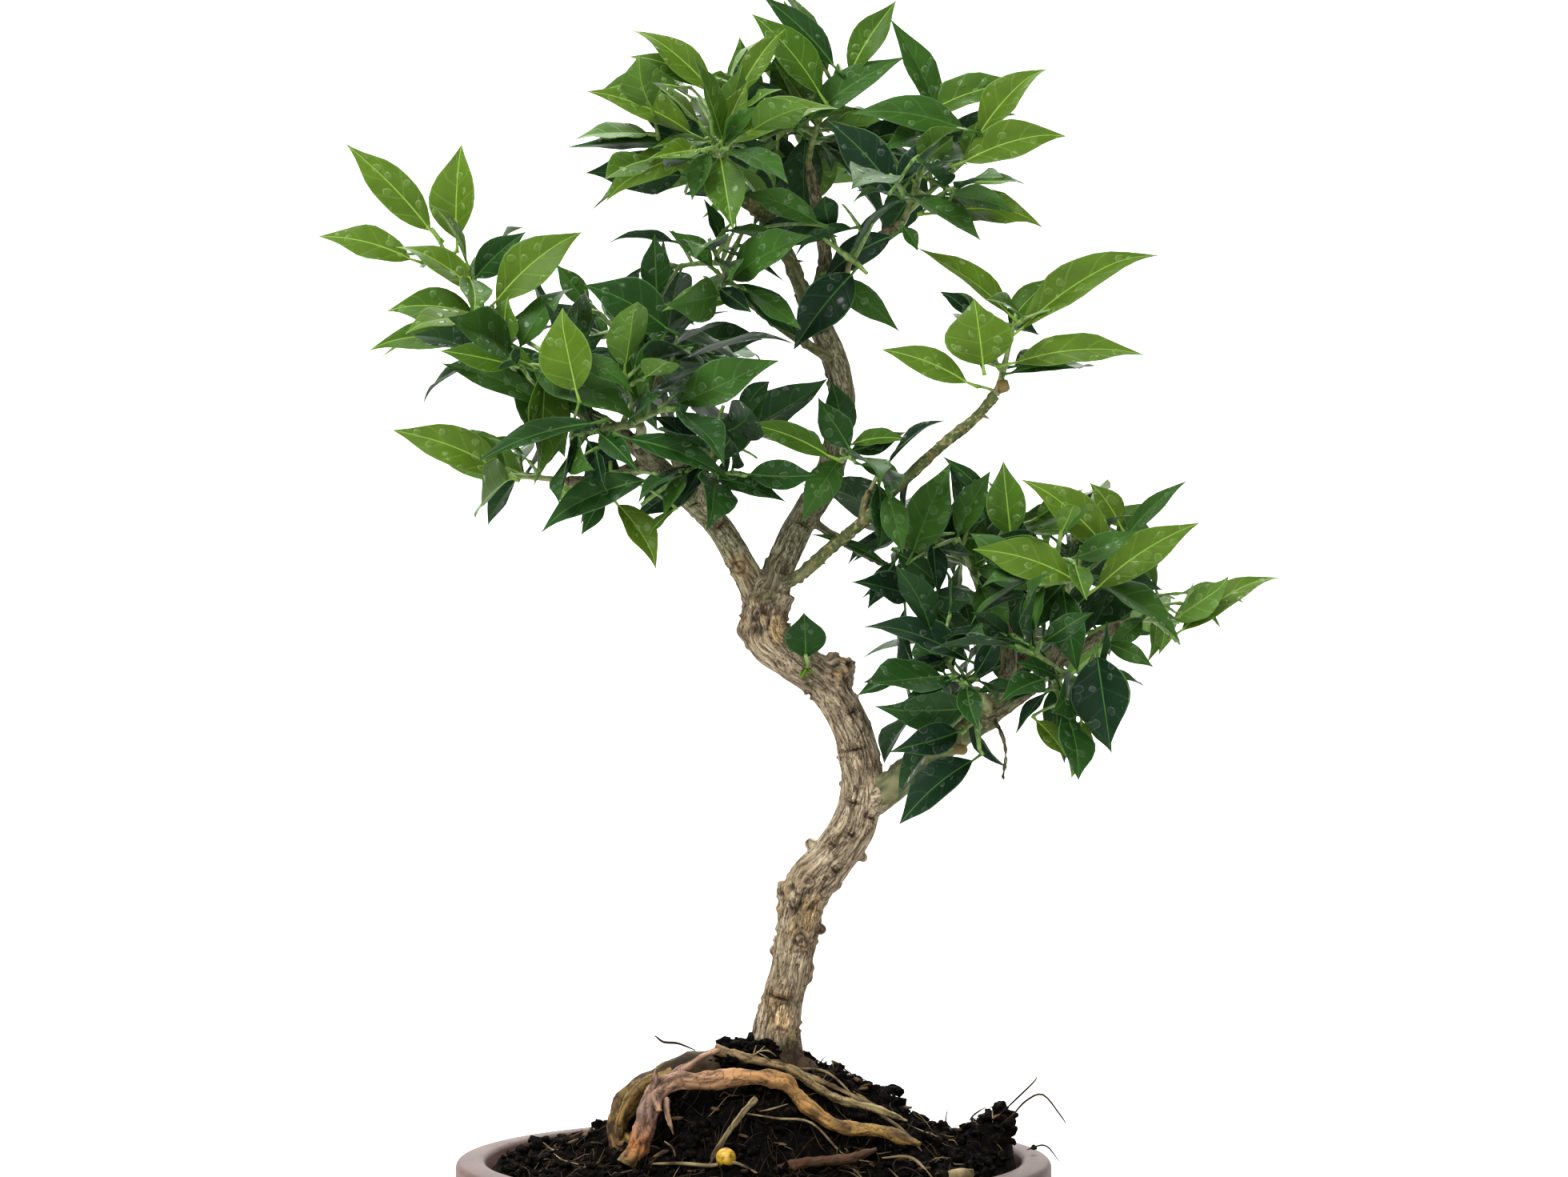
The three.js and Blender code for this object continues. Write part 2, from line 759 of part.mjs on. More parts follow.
// Colour and roughness of each finish.
const finish = (color, roughness) => ({ color, roughness, metalness: 0 });
const FINISHES = {
  glaze: finish(0x9a7d74, 0.42),
  soil: finish(0x15110d, 0.95),
  bark: finish(0x9c8769, 0.85),
  rootBark: finish(0xa6764c, 0.75),
  youngBark: finish(0x7d8450, 0.7),
  leaf: finish(0x4f8a24, 0.35),
  pellet: finish(0xc9a227, 0.5),
};
const YOUNG_BOUGHS = ["bough_green", "bough_green_side", "bough_right", "bough_top_left", "bough_mid_left"];

const tree = new THREE.Group();

// Edges shorter than this are closed up where two surfaces cross.
const SHORTEST_EDGE = 0.05;

function addPiece(name, solid, look) {
  const clean = mainBody(solid.simplify(SHORTEST_EDGE));
  const piece = new THREE.Mesh(geometryOf(clean), new THREE.MeshStandardMaterial(look));
  piece.name = name;
  tree.add(piece);
}

const trunk = makeTrunk();
const limbs = [trunk];
for (const bough of BOUGHS) {
  const limb = makeLimb(bough, BOUGH_STEP);
  limb.solid = cutBack(limb.solid, limbs);
  limbs.push(limb);
}
const roots = [];
for (const root of ROOTS) {
  const limb = makeLimb(root, ROOT_STEP);
  limb.solid = cutBack(limb.solid, [trunk, ...roots]);
  roots.push(limb);
}
const pelletHeight = groundAt(PELLET.x, PELLET.y) + PELLET.radius * PELLET.raised;
const pelletBall = (radius) => {
  const ball = new THREE.IcosahedronGeometry(radius, 1);
  ball.translate(PELLET.x, PELLET.y, pelletHeight);
  return solidOf(ball);
};
const pellet = { solid: pelletBall(PELLET.radius), envelope: pelletBall(PELLET.radius + ENVELOPE) };

addPiece("pot", makePot(), FINISHES.glaze);
addPiece("soil", makeSoil([trunk, ...roots, pellet]), FINISHES.soil);
addPiece("feed_pellet", pellet.solid, FINISHES.pellet);
for (const { name, solid } of roots) {
  addPiece(name, solid, FINISHES.rootBark);
}
for (const { name, solid } of limbs) {
  addPiece(name, solid, YOUNG_BOUGHS.includes(name) ? FINISHES.youngBark : FINISHES.bark);
}
const masses = MASSES.map((mass) => {
  const shoots = shootsOf(mass, drawsFrom(mass.seed));
  return { name: mass.name, shoots, leader: cutBack(twigOf(shoots[0], SHOOT.leaderSteps), limbs) };
});
for (const mass of masses) {
  const others = masses.filter((other) => other !== mass).map(({ leader, solid }) => solid ?? leader);
  mass.solid = makeMass(mass, [...limbs.map(({ solid }) => solid), ...others]);
  addPiece(mass.name, mass.solid, FINISHES.leaf);
}

export default tree;
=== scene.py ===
# %% [markdown]
# # A myrtle-leaf orange grown as a bonsai
#
# The real tree is a citrus of a few years, kept small by pruning: a bent trunk with furrowed
# bark, boughs cut back to a few strong limbs, and shoots that carry stiff, waxy leaves close
# together. It stands with its upper roots bare on a mound of peat in an oval glazed pot.
#
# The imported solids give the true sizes. This script grows the looks on them: bark with relief,
# every leaf as its own folded blade, crumbly soil with rootlets, and a glazed pot.
#
# %% Load the fixed frame
import math

import bmesh
import bpy
import numpy as np
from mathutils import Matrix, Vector, noise
from mathutils.bvhtree import BVHTree
from mathutils.kdtree import KDTree


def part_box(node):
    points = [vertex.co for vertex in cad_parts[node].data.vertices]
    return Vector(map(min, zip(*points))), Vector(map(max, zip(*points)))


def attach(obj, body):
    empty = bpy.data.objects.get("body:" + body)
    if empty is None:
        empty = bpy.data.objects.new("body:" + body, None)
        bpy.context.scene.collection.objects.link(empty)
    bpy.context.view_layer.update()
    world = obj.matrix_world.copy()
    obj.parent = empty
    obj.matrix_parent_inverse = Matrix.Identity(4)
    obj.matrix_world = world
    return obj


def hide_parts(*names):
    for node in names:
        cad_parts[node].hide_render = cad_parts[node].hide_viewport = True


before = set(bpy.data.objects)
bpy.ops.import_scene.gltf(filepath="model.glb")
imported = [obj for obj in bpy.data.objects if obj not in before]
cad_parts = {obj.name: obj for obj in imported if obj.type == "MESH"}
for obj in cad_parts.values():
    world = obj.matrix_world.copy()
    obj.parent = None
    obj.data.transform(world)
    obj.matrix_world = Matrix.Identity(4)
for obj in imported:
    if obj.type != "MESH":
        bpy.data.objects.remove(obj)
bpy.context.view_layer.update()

print("solids in the frame:", len(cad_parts))

# %% [markdown]
# ## Units, colours and nodes
#
# Lengths are millimetres, as on a maker's drawing, and become metres only when a mesh is made.
# Colours are sRGB hex, as on a paint card, and one function gives the linear values that shaders
# use. One small function adds every node, with its settings and links.
#
# %% Units, colours and nodes
MM = 0.001


def linear(hex_colour):
    """An sRGB hex colour as a shader's linear colour."""
    values = [int(hex_colour[i : i + 2], 16) / 255 for i in (1, 3, 5)]
    return [v / 12.92 if v <= 0.04045 else ((v + 0.055) / 1.055) ** 2.4 for v in values] + [1]


def repeats(size):
    """The scale of a pattern with features of this size in millimetres."""
    return 1 / (size * MM)


def add_node(material, kind, sockets=(), out=0, stops=(), **settings):
    """Adds a node, sets or links its sockets, and gives back one of its outputs."""
    tree = material.node_tree
    node = tree.nodes.new("ShaderNode" + kind)
    for name, value in settings.items():
        setattr(node, name, value)
    for name, value in sockets.items() if isinstance(sockets, dict) else enumerate(sockets):
        if isinstance(value, bpy.types.NodeSocket):
            tree.links.new(value, node.inputs[name])
        else:
            node.inputs[name].default_value = value
    for i, (place, colour) in enumerate(stops):
        stop = node.color_ramp.elements[i] if i < 2 else node.color_ramp.elements.new(place)
        stop.position = place
        stop.color = linear(colour)
    return node.outputs[out]


def new_material(name, **values):
    """A material and its surface shader, with these values on it."""
    made = bpy.data.materials.new(name)
    made.use_nodes = True
    surface = made.node_tree.nodes["Principled BSDF"]
    for socket, value in values.items():
        surface.inputs[socket.replace("_", " ")].default_value = value
    return made, surface


def wire(output, node, socket):
    node.id_data.links.new(output, node.inputs[socket])


def add_object(name, data):
    made = bpy.data.objects.new(name, data)
    bpy.context.scene.collection.objects.link(made)
    return made


print("one step of a 4 mm pattern is a scale of", repeats(4))

# %% [markdown]
# ## Camera
#
# The photograph was taken level with the crown's middle, from so far that the tree hardly tapers. A
# picture 1960 dots wide that shows 549 mm at the trunk, from 1.2 m away, gives a 78.7 mm lens.
#
# %% Camera
IMAGE_WIDE = 1960
MM_PER_DOT = 0.28
CAMERA_FROM = 1200
CAMERA_AT = (10.6, 260.7)
SENSOR = 36

camera_data = bpy.data.cameras.new("camera")
camera_data.sensor_width = SENSOR
camera_data.lens = SENSOR * CAMERA_FROM / (IMAGE_WIDE * MM_PER_DOT)
camera_data.clip_start = 0.05
camera = add_object("camera", camera_data)
camera.location = (CAMERA_AT[0] * MM, -CAMERA_FROM * MM, CAMERA_AT[1] * MM)
camera.rotation_euler = (math.pi / 2, 0, 0)
bpy.context.scene.camera = camera
print("lens:", round(camera_data.lens, 1), "mm")

# %% [markdown]
# ## Studio
#
# White surroundings light the tree dimly from all round. A large softbox above the left gives the
# leaves their sheen and leaves the crown's inside dark, and a wide lamp turns the background white.
# One bright dome would be simpler, but would light the crown's heart as much as its edge.
#
# %% Studio
SURROUNDINGS = 0.31

# Each lamp's place, aim and width in metres, and its watts.
LAMPS = {
    "key softbox": ((-0.7, -0.8, 1.5), (0.0, 0.0, 0.3), 0.7, 39),
    "front softbox": ((0.5, -1.9, 0.9), (0.0, 0.0, 0.25), 1.0, 16),
    "table lamp": ((0.0, 2.0, 2.8), (0.0, 2.3, 0.0), 2.6, 210),
}

world = bpy.data.worlds.new("light tent")
world.use_nodes = True
glow = world.node_tree.nodes["Background"].inputs
glow["Color"].default_value = linear("#FFFFFF")
glow["Strength"].default_value = SURROUNDINGS
bpy.context.scene.world = world
bpy.context.scene.view_settings.view_transform = "Standard"

for name, (place, aim, size, watts) in LAMPS.items():
    lamp = bpy.data.lights.new(name, "AREA")
    lamp.shape = "SQUARE"
    lamp.size = size
    lamp.energy = watts
    softbox = add_object(name, lamp)
    softbox.location = place
    softbox.rotation_euler = (Vector(aim) - Vector(place)).to_track_quat("-Z", "Y").to_euler()
print("lamps:", len(LAMPS))

# %% [markdown]
# ## Numbers that repeat, and curves
#
# The crown is grown by chance that repeats: the same seed gives the same draws, in the solids and
# here. Limbs follow smooth curves through a few points, shoots bow on a curve with one control
# point, and rings are carried along a curve without twisting.
#
# %% Draws and curves
UP = np.array([0.0, 0.0, 1.0])
AWAY = np.array([0.0, 1.0, 0.0])
SIDEWAYS = np.array([1.0, 0.0, 0.0])
TURN = 2 * math.pi


def draws_from(seed):
    """Draws that the same seed always repeats."""
    state = [seed * 7919 % 2**32]

    def share():
        state[0] = (state[0] * 1664525 + 1013904223) % 2**32
        return state[0] / 2**32

    share()
    share()
    return lambda low, high: low + (high - low) * share()


def mix(low, high, share):
    return low + (high - low) * share


def unit(vector):
    return vector / np.linalg.norm(vector)


def soft_step(value, low, high):
    """0 up to low, 1 from high on, and smooth between."""
    share = np.clip((value - low) / (high - low), 0, 1)
    return share * share * (3 - 2 * share)


def smooth_path(points):
    """A curve through all the points, by the share of the way along."""
    given = np.array(points, float)
    last = len(given) - 1
    padded = np.vstack([2 * given[0] - given[1], given, 2 * given[-1] - given[-2]])

    def at(share):
        place = min(max(share, 0), 1) * last
        i = min(int(place), last - 1)
        w = place - i
        a, b, c, d = padded[i : i + 4]
        bent = a - 2.5 * b + 2 * c - 0.5 * d
        return b + w * (c - a) / 2 + w**2 * bent + w**3 * (3 * (b - c) + d - a) / 2

    return at


def bowed_path(start, middle, end):
    """A curve pulled towards its middle point."""
    return lambda t: start * (1 - t) ** 2 + middle * 2 * t * (1 - t) + end * t * t


def heading(at, share, step=0.05):
    """The direction of a curve at a share of its way."""
    return unit(at(min(1, share + step)) - at(max(0, share - step)))


def rings_along(at, steps, first=0.0, last=1.0):
    """Centres and directions of even rings along a curve."""
    shares = np.linspace(first, last, steps + 1)
    centres = np.array([at(share) for share in shares])
    alongs = np.array([heading(at, share, 0.01) for share in shares])
    across = np.cross(AWAY if abs(alongs[0][1]) < 0.9 else SIDEWAYS, alongs[0])
    acrosses = []
    for along in alongs:
        across = unit(across - along * across.dot(along))
        acrosses.append(across)
    acrosses = np.array(acrosses)
    return centres, acrosses, np.cross(acrosses, alongs)


def length_of(at, steps=40):
    points = np.array([at(share) for share in np.linspace(0, 1, steps)])
    return np.linalg.norm(np.diff(points, axis=0), axis=1).sum()


print("soft step at a quarter and a half:", soft_step(0.25, 0, 1), soft_step(0.5, 0, 1))

# %% [markdown]
# ## Meshes from points
#
# Almost everything here is a tube or a sheet that a formula gives, so the pieces are made from lists
# of points and faces. Small shapes that belong together are joined into one mesh.
#
# %% Meshes from points
def around(sides):
    """Each place on a ring, with the next one."""
    return [(j, (j + 1) % sides) for j in range(sides)]


def band_faces(rings, sides):
    """The faces between rings that follow each other."""
    pairs = around(sides)
    starts = [i * sides for i in range(rings - 1)]
    return [(a + j, a + k, a + sides + k, a + sides + j) for a in starts for j, k in pairs]


def closed_faces(rings, sides):
    """The faces of rings that a middle point closes at each end."""
    faces = band_faces(rings, sides)
    middle, last = rings * sides, (rings - 1) * sides
    for j, k in around(sides):
        faces += [(middle, k, j), (middle + 1, last + j, last + k)]
    return faces


def tube(rings, radii, sides):
    centres, across, up = rings
    angles = np.linspace(0, TURN, sides, endpoint=False)[None, :, None]
    spokes = across[:, None] * np.cos(angles) + up[:, None] * np.sin(angles)
    skin = centres[:, None] + spokes * np.asarray(radii)[:, None, None]
    points = np.vstack([skin.reshape(-1, 3), centres[:1], centres[-1:]])
    return points, closed_faces(len(centres), sides)


def ball(centre, radius, detail):
    made = bmesh.new()
    bmesh.ops.create_icosphere(made, subdivisions=detail, radius=radius)
    points = np.array([v.co[:] for v in made.verts]) + np.array(centre, float)
    faces = [tuple(v.index for v in face.verts) for face in made.faces]
    made.free()
    return points, faces


def joined(parts):
    """Several shapes as one list of points and faces."""
    points, faces, start = [], [], 0
    for more_points, more_faces in parts:
        points.append(more_points)
        faces += [tuple(i + start for i in face) for face in more_faces]
        start += len(more_points)
    return np.vstack(points), faces


print("faces of a tube of 3 rings with 8 sides:", len(closed_faces(3, 8)))

# %% [markdown]
# ## Pieces and the numbers on them
#
# A piece is one mesh that takes the place of one solid or of several. What each of its points is,
# such as old bark or the middle of a crack, is kept on the point as a number. A material reads it
# there, and needs no picture of the pattern.
#
# %% Pieces and the numbers on them
def make_piece(name, points, faces, materials=(), picks=None):
    """A smooth mesh object. Picks say which material each face has."""
    mesh = bpy.data.meshes.new(name)
    mesh.from_pydata((np.asarray(points) * MM).tolist(), [], faces)
    for material in materials:
        mesh.materials.append(material)
    if picks is not None:
        mesh.polygons.foreach_set("material_index", np.asarray(picks, np.int32))
    mesh.polygons.foreach_set("use_smooth", np.ones(len(mesh.polygons), bool))
    mesh.update()
    return add_object(name, mesh)


def set_values(made, **values):
    """Keeps named numbers on the mesh's points, which a material can read."""
    for name, numbers in values.items():
        made.data.attributes.new(name, "FLOAT", "POINT").data.foreach_set("value", numbers)


def make_grown(name, parts, *names):
    """A piece joined from skins, which keeps the numbers of their points."""
    made = make_piece(name, *joined([part[:2] for part in parts]))
    columns = zip(*(part[2:] for part in parts))
    set_values(made, **{kept: np.concatenate(column) for kept, column in zip(names, columns)})
    return made


def dress(made, slot, *nodes, material=None):
    """Gives a piece its material and body, and hides the nodes it replaces. The slot is not used."""
    if material:
        made.data.materials.append(material)
    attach(made, "root")
    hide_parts(*nodes)
    faces = sum(len(face.vertices) - 2 for face in made.data.polygons)
    print(made.name, "has", faces, "triangles")


def settle(made):
    """Applies the object's modifiers to its mesh."""
    view = bpy.context.evaluated_depsgraph_get()
    mesh = bpy.data.meshes.new_from_object(made.evaluated_get(view))
    made.modifiers.clear()
    made.data = mesh


def points_of(made):
    """The mesh's points in millimetres, and their outward directions."""
    count = len(made.data.vertices)
    points = np.empty(count * 3)
    made.data.vertices.foreach_get("co", points)
    outward = np.empty(count * 3)
    made.data.vertex_normals.foreach_get("vector", outward)
    return points.reshape(-1, 3) / MM, outward.reshape(-1, 3)


def ring_values(values, ends, sides):
    """One number for each ring's points, and those of the two end points."""
    return np.append(np.repeat(values, sides), ends)


def angles_round(rings, sides):
    """The angle of each point round its tube."""
    return np.append(np.tile(np.linspace(0, TURN, sides, endpoint=False), rings), [0, 0])


def away_from(at, shares, points):
    """The direction from the middle line to each point."""
    outward = points - np.array([at(share) for share in shares])
    return outward / np.maximum(np.linalg.norm(outward, axis=1, keepdims=True), 1e-6)


print("points of a tube of 3 rings with 8 sides:", len(angles_round(3, 8)))

# %% [markdown]
# ## Table
#
# The tree stands on a plain pale table. A flat top against a wall would show a grey line, so the
# table is one sheet that curves up far behind the tree.
#
# %% Table
TABLE_COLOUR = "#F6F6F6"
TABLE_HALF = 4000
SWEEP_AT = 2200
SWEEP_RADIUS = 900
SWEEP_STEPS = 24

profile = [(-TABLE_HALF, 0.0), (SWEEP_AT, 0.0)]
for i in range(1, SWEEP_STEPS + 1):
    turn = math.pi / 2 * i / SWEEP_STEPS
    profile.append((SWEEP_AT + SWEEP_RADIUS * math.sin(turn), SWEEP_RADIUS * (1 - math.cos(turn))))
profile.append((SWEEP_AT + SWEEP_RADIUS, TABLE_HALF))
points = [(side * TABLE_HALF, y, z) for y, z in profile for side in (-1, 1)]
faces = [(2 * i, 2 * i + 1, 2 * i + 3, 2 * i + 2) for i in range(len(profile) - 1)]
paper, _ = new_material("matt paper", Base_Color=linear(TABLE_COLOUR), Roughness=0.9)
table = make_piece("table", points, faces, [paper])
print("faces of the table:", len(faces))

# %% [markdown]
# ## The tree's limbs
#
# These are the driving sizes of the solids, repeated because the frame holds only their shapes:
# rows of x, z and radius for the trunk, and for each bough its radius at both ends and the points
# it runs through.
#
# %% Limbs
GROUND_CUT = 91
TRUNK = [
    (7, 86, 12.4), (8, 92, 11), (8, 98, 9.6), (8, 106, 8.5), (10, 117, 7.3), (13, 128, 7.2),
    (15, 140, 7.4), (17, 150, 8), (20, 158, 8.7), (28, 167, 8), (35, 178, 8), (38, 189, 7.8),
    (37, 201, 7.2), (34, 212, 7), (29, 222, 6.9), (23, 229, 7.1), (14, 236, 7.7), (6, 243, 8.5),
    (4, 252, 8.3), (6, 260, 8.7),
]

GREY_BOUGHS = {
    "bough_left": (
        5.4, 3.5, (4, 0, 252), (-3, -2, 267), (-12, -4, 282), (-21, -6, 291), (-31, -9, 301),
        (-40, -12, 310),
    ),
    "bough_leader": (
        5.7, 4.2, (4, 0, 252), (9, 2, 268), (16, 4, 283), (25, 5, 298), (29, 4, 311), (31, 3, 327),
        (28, 2, 342), (22, 2, 355), (18, 2, 365),
    ),
    "bough_top_back": (2.9, 2.1, (20, 4, 358), (25, 10, 375), (23, 16, 393), (20, 18, 409)),
    "bough_top_right": (3.2, 2.4, (22, 2, 355), (29, 6, 371), (40, 4, 380), (50, 0, 387)),
    "bough_top_inner": (2.2, 1.7, (22, 1, 354), (28, -7, 361), (32, -11, 368)),
    "bough_left_outer": (3.2, 2.2, (-36, -11, 307), (-49, -12, 316), (-61, -14, 323), (-72, -16, 330)),
    "bough_left_low": (2.6, 2, (-34, -10, 305), (-45, -9, 301), (-58, -8, 298), (-65, -8, 298)),
    "bough_left_back": (3.2, 2.2, (-22, -6, 292), (-27, 14, 308), (-31, 28, 322), (-35, 40, 336)),
    "bough_left_inner": (2.4, 1.8, (-19, -6, 290), (-17, -15, 295), (-19, -18, 300)),
    "bough_dark": (1.5, 1.2, (18, 4, 286), (33, 2, 276), (44, 0, 270), (50, 0, 267)),
    "spur_wound": (2, 1.5, (29, 4, 305), (30, -4, 305), (31, -10, 305)),
    "bough_right_up": (3.4, 2.3, (79, -9, 214), (89, 4, 230), (88, 10, 247), (80, 8, 258)),
    "bough_right_outer": (3.2, 2.3, (80, -10, 215), (99, -13, 230), (107, -16, 244), (108, -15, 255)),
    "bough_right_far": (2.4, 2, (100, -13, 231), (113, -14, 240), (127, -14, 248)),
    "bough_right_back": (2.8, 2, (72, -8, 210), (83, 16, 220), (92, 34, 229), (99, 44, 237)),
    "bough_right_low": (2.6, 2, (81, -10, 216), (90, -20, 222), (97, -24, 227)),
    "bare_twig": (0.9, 0.6, (82, -12, 216), (85, -18, 212), (87, -19, 204), (86, -19, 195)),
}
GREEN_BOUGHS = {
    "bough_green": (
        2.9, 2.2, (8, -2, 261), (17, -12, 266), (27, -18, 275), (37, -20, 283), (49, -22, 295),
        (65, -24, 310), (75, -25, 318), (83, -26, 327),
    ),
    "bough_right": (6.3, 4.4, (38, 0, 185), (47, -3, 191), (58, -6, 200), (70, -8, 209), (83, -10, 217)),
    "bough_top_left": (2.9, 2.2, (20, 2, 358), (14, -4, 372), (8, -8, 384), (1, -12, 392), (-9, -14, 398)),
    "bough_mid_left": (1.9, 1.5, (27, 0, 341), (18, -8, 346), (6, -14, 354), (-4, -18, 362)),
    "bough_green_side": (1.4, 1.2, (37, -20, 283), (38, -21, 289), (40, -22, 294)),
}
BOUGHS = GREY_BOUGHS | GREEN_BOUGHS


def trunk_radius(share):
    place = share * (len(TRUNK) - 1)
    lower = min(int(place), len(TRUNK) - 2)
    return mix(TRUNK[lower][2], TRUNK[lower + 1][2], place - lower)


trunk_path = smooth_path([(x, 0, z) for x, z, _ in TRUNK])
bough_paths = {name: smooth_path(path) for name, (_, _, *path) in BOUGHS.items()}
print("trunk:", round(length_of(trunk_path)), "mm along its bends, boughs:", len(BOUGHS))

# %% [markdown]
# ## Wood grows together
#
# A bough doesn't stick out of the trunk like a peg: the wood swells round its foot. So the limbs and
# knots are first plain tubes and lumps that run into each other. A voxel remesh then lays one even
# skin round them all, and a little smoothing rounds the hollows.
#
# %% Wood grown together
TRUNK_VOXEL = 0.42
BOUGH_VOXEL = 0.52
COLLAR = 13
LIMB_STEP = 1.2
SLIMMER = {"bough_green": 0.8}
FROM_TRUNK = ["bough_left", "bough_leader", "bough_green", "bough_right"]
STUB = {"from": (27, 0, 223), "to": (31, 0.5, 236.5), "radii": (7, 5.1)}

# Knots, old cuts, the flare of the roots and dormant buds on the trunk: middle and radius.
KNOTS = [
    ((12, -2, 155), 4.2), ((28, -1, 158), 3.4), ((17, -5, 138), 3.6), ((5, -4, 249), 6),
    ((-2, -2, 245), 3.4), ((17, -3, 92), 5.5), ((-3, -4, 91), 6), ((19.8, 0, 171.5), 2.1),
    ((38, 0, 166.8), 1.9), ((23.2, -1, 141.6), 2.1), ((7.6, 0, 134), 2.3), ((18.6, -1, 128), 2.9),
    ((18.2, -1, 125), 2.9), ((-1.2, -2, 241), 2.1), ((-2.6, -1, 247), 3),
]


def limb_tube(at, radius_at, first=0.0, last=1.0, swell=0.0, sides=20):
    """A plain tube, a little swollen at its foot."""
    length = length_of(at) * (last - first)
    steps = max(4, round(length / LIMB_STEP))
    shares = np.linspace(first, last, steps + 1)
    from_foot = np.linspace(0, length, steps + 1)
    radii = [radius_at(share) for share in shares] * (1 + swell * np.exp(-from_foot / 6))
    return tube(rings_along(at, steps, first, last), radii, sides)


def bough_radius(name):
    thick, thin, *_ = BOUGHS[name]
    slim = SLIMMER.get(name, 1)
    return lambda share: mix(thick, thin, share) * slim


def skin_over(name, parts, voxel, rounds):
    """One soft skin round overlapping shapes."""
    made = make_piece(name, *joined(parts))
    skin = made.modifiers.new("skin", "REMESH")
    skin.mode = "VOXEL"
    skin.voxel_size = voxel * MM
    soften = made.modifiers.new("soften", "SMOOTH")
    soften.iterations = rounds
    settle(made)
    return made


trunk_parts = [limb_tube(trunk_path, trunk_radius, sides=40)]
trunk_parts += [ball(centre, radius, 3) for centre, radius in KNOTS]
stub_path = smooth_path([STUB["from"], STUB["to"]])
trunk_parts.append(limb_tube(stub_path, lambda share: mix(*STUB["radii"], share), sides=32))
for name in FROM_TRUNK:
    length = length_of(bough_paths[name])
    foot = (COLLAR if BOUGHS[name][0] > 4 else COLLAR * 0.8) / length
    trunk_parts.append(limb_tube(bough_paths[name], bough_radius(name), last=foot, swell=0.3))
trunk_piece = skin_over("trunk_bark", trunk_parts, TRUNK_VOXEL, 9)

bough_parts = []
for name in GREY_BOUGHS:
    swell = 0 if name in FROM_TRUNK else 0.3
    bough_parts.append(limb_tube(bough_paths[name], bough_radius(name), swell=swell))
bough_piece = skin_over("bough_bark", bough_parts, BOUGH_VOXEL, 5)
print("skin points:", len(trunk_piece.data.vertices), len(bough_piece.data.vertices))

# %% [markdown]
# ## Where the grain runs
#
# Bark cracks along its limb, so its pattern has to know which limb each point of the skin belongs
# to, how far along it lies and on which side. Each point takes the nearest ring of the limbs' middle
# lines, measured from the bark, so that a thin bough's foot isn't taken for the trunk.
#
# %% Where the grain runs
GRAIN_STEP = 0.8
AT_ONCE = 1500


class Grain:
    """The rings of some limbs' middle lines: place, directions, radius and way along."""

    def __init__(self, limbs):
        parts = []
        for at, radius_at in limbs:
            length = length_of(at)
            steps = max(3, round(length / GRAIN_STEP))
            radii = [radius_at(share) for share in np.linspace(0, 1, steps + 1)]
            parts.append((*rings_along(at, steps), radii, np.linspace(0, length, steps + 1)))
        self.centres, self.across, self.up, self.radii, self.ways = map(np.concatenate, zip(*parts))

    def find(self, points):
        """Each point's way along its limb, angle round it and the limb's radius."""
        nearest = np.empty(len(points), int)
        for start in range(0, len(points), AT_ONCE):
            part = points[start : start + AT_ONCE]
            away = np.linalg.norm(part[:, None] - self.centres[None], axis=2) - self.radii
            nearest[start : start + AT_ONCE] = away.argmin(axis=1)
        offset = points - self.centres[nearest]
        right = (offset * self.across[nearest]).sum(axis=1)
        front = (offset * self.up[nearest]).sum(axis=1)
        return self.ways[nearest], np.arctan2(front, right), self.radii[nearest]


def grain_noise(ways, angles, radii, wide, long, shift):
    """Noise drawn out along the grain."""
    x = radii * np.cos(angles) / wide
    y = radii * np.sin(angles) / wide
    z = ways / long + shift
    return np.array([noise.noise(point) for point in np.stack([x, y, z], axis=1).tolist()])


def lump_noise(points, size, shift=0.0):
    """Noise of one size in all directions."""
    return np.array([noise.noise(point) for point in (points / size + shift).tolist()])


limbs = {name: (bough_paths[name], bough_radius(name)) for name in BOUGHS}
trunk_grain = Grain([(trunk_path, trunk_radius)] + [limbs[name] for name in FROM_TRUNK])
grey_grain = Grain([limbs[name] for name in GREY_BOUGHS])
print("rings of the middle lines:", len(trunk_grain.centres), len(grey_grain.centres))

# %% [markdown]
# ## Scars and warts
#
# Every old leaf left a scar across the grain with a raised lip, and buds that never grew stand out
# as warts. Each is a soft lens of height. Most wind up the limb by chance, and those that show on
# the trunk's front lie where the photograph has them.
#
# %% Scars and warts
SCAR = {"half_wide": 3.2, "half_long": 0.85, "deep": 1.1, "lip": 0.7, "lip_at": 1.6}
WART = {"half": 1.0, "high": 1.5}
GOLDEN_TURN = 137.5
FRONT_DEPTH = -8

# Where old leaf scars show on the front of the trunk: x, z and half the scar's width.
FRONT_SCARS = [
    (35.5, 218.3, 2.4), (35.5, 204.3, 3.6), (33.5, 186.4, 3.4), (42, 180.2, 2.4), (33.8, 174.4, 2.6),
    (27.6, 171.7, 2), (28.6, 161.8, 3), (9, 118.5, 4.6),
]


def lens(angles, turn, radii, ways, way, half_wide, half_long):
    """1 in the middle of a lens that lies across the grain."""
    turned = (angles - turn + math.pi) % TURN - math.pi
    return np.exp(-((turned * radii / half_wide) ** 2) - ((ways - way) / half_long) ** 2)


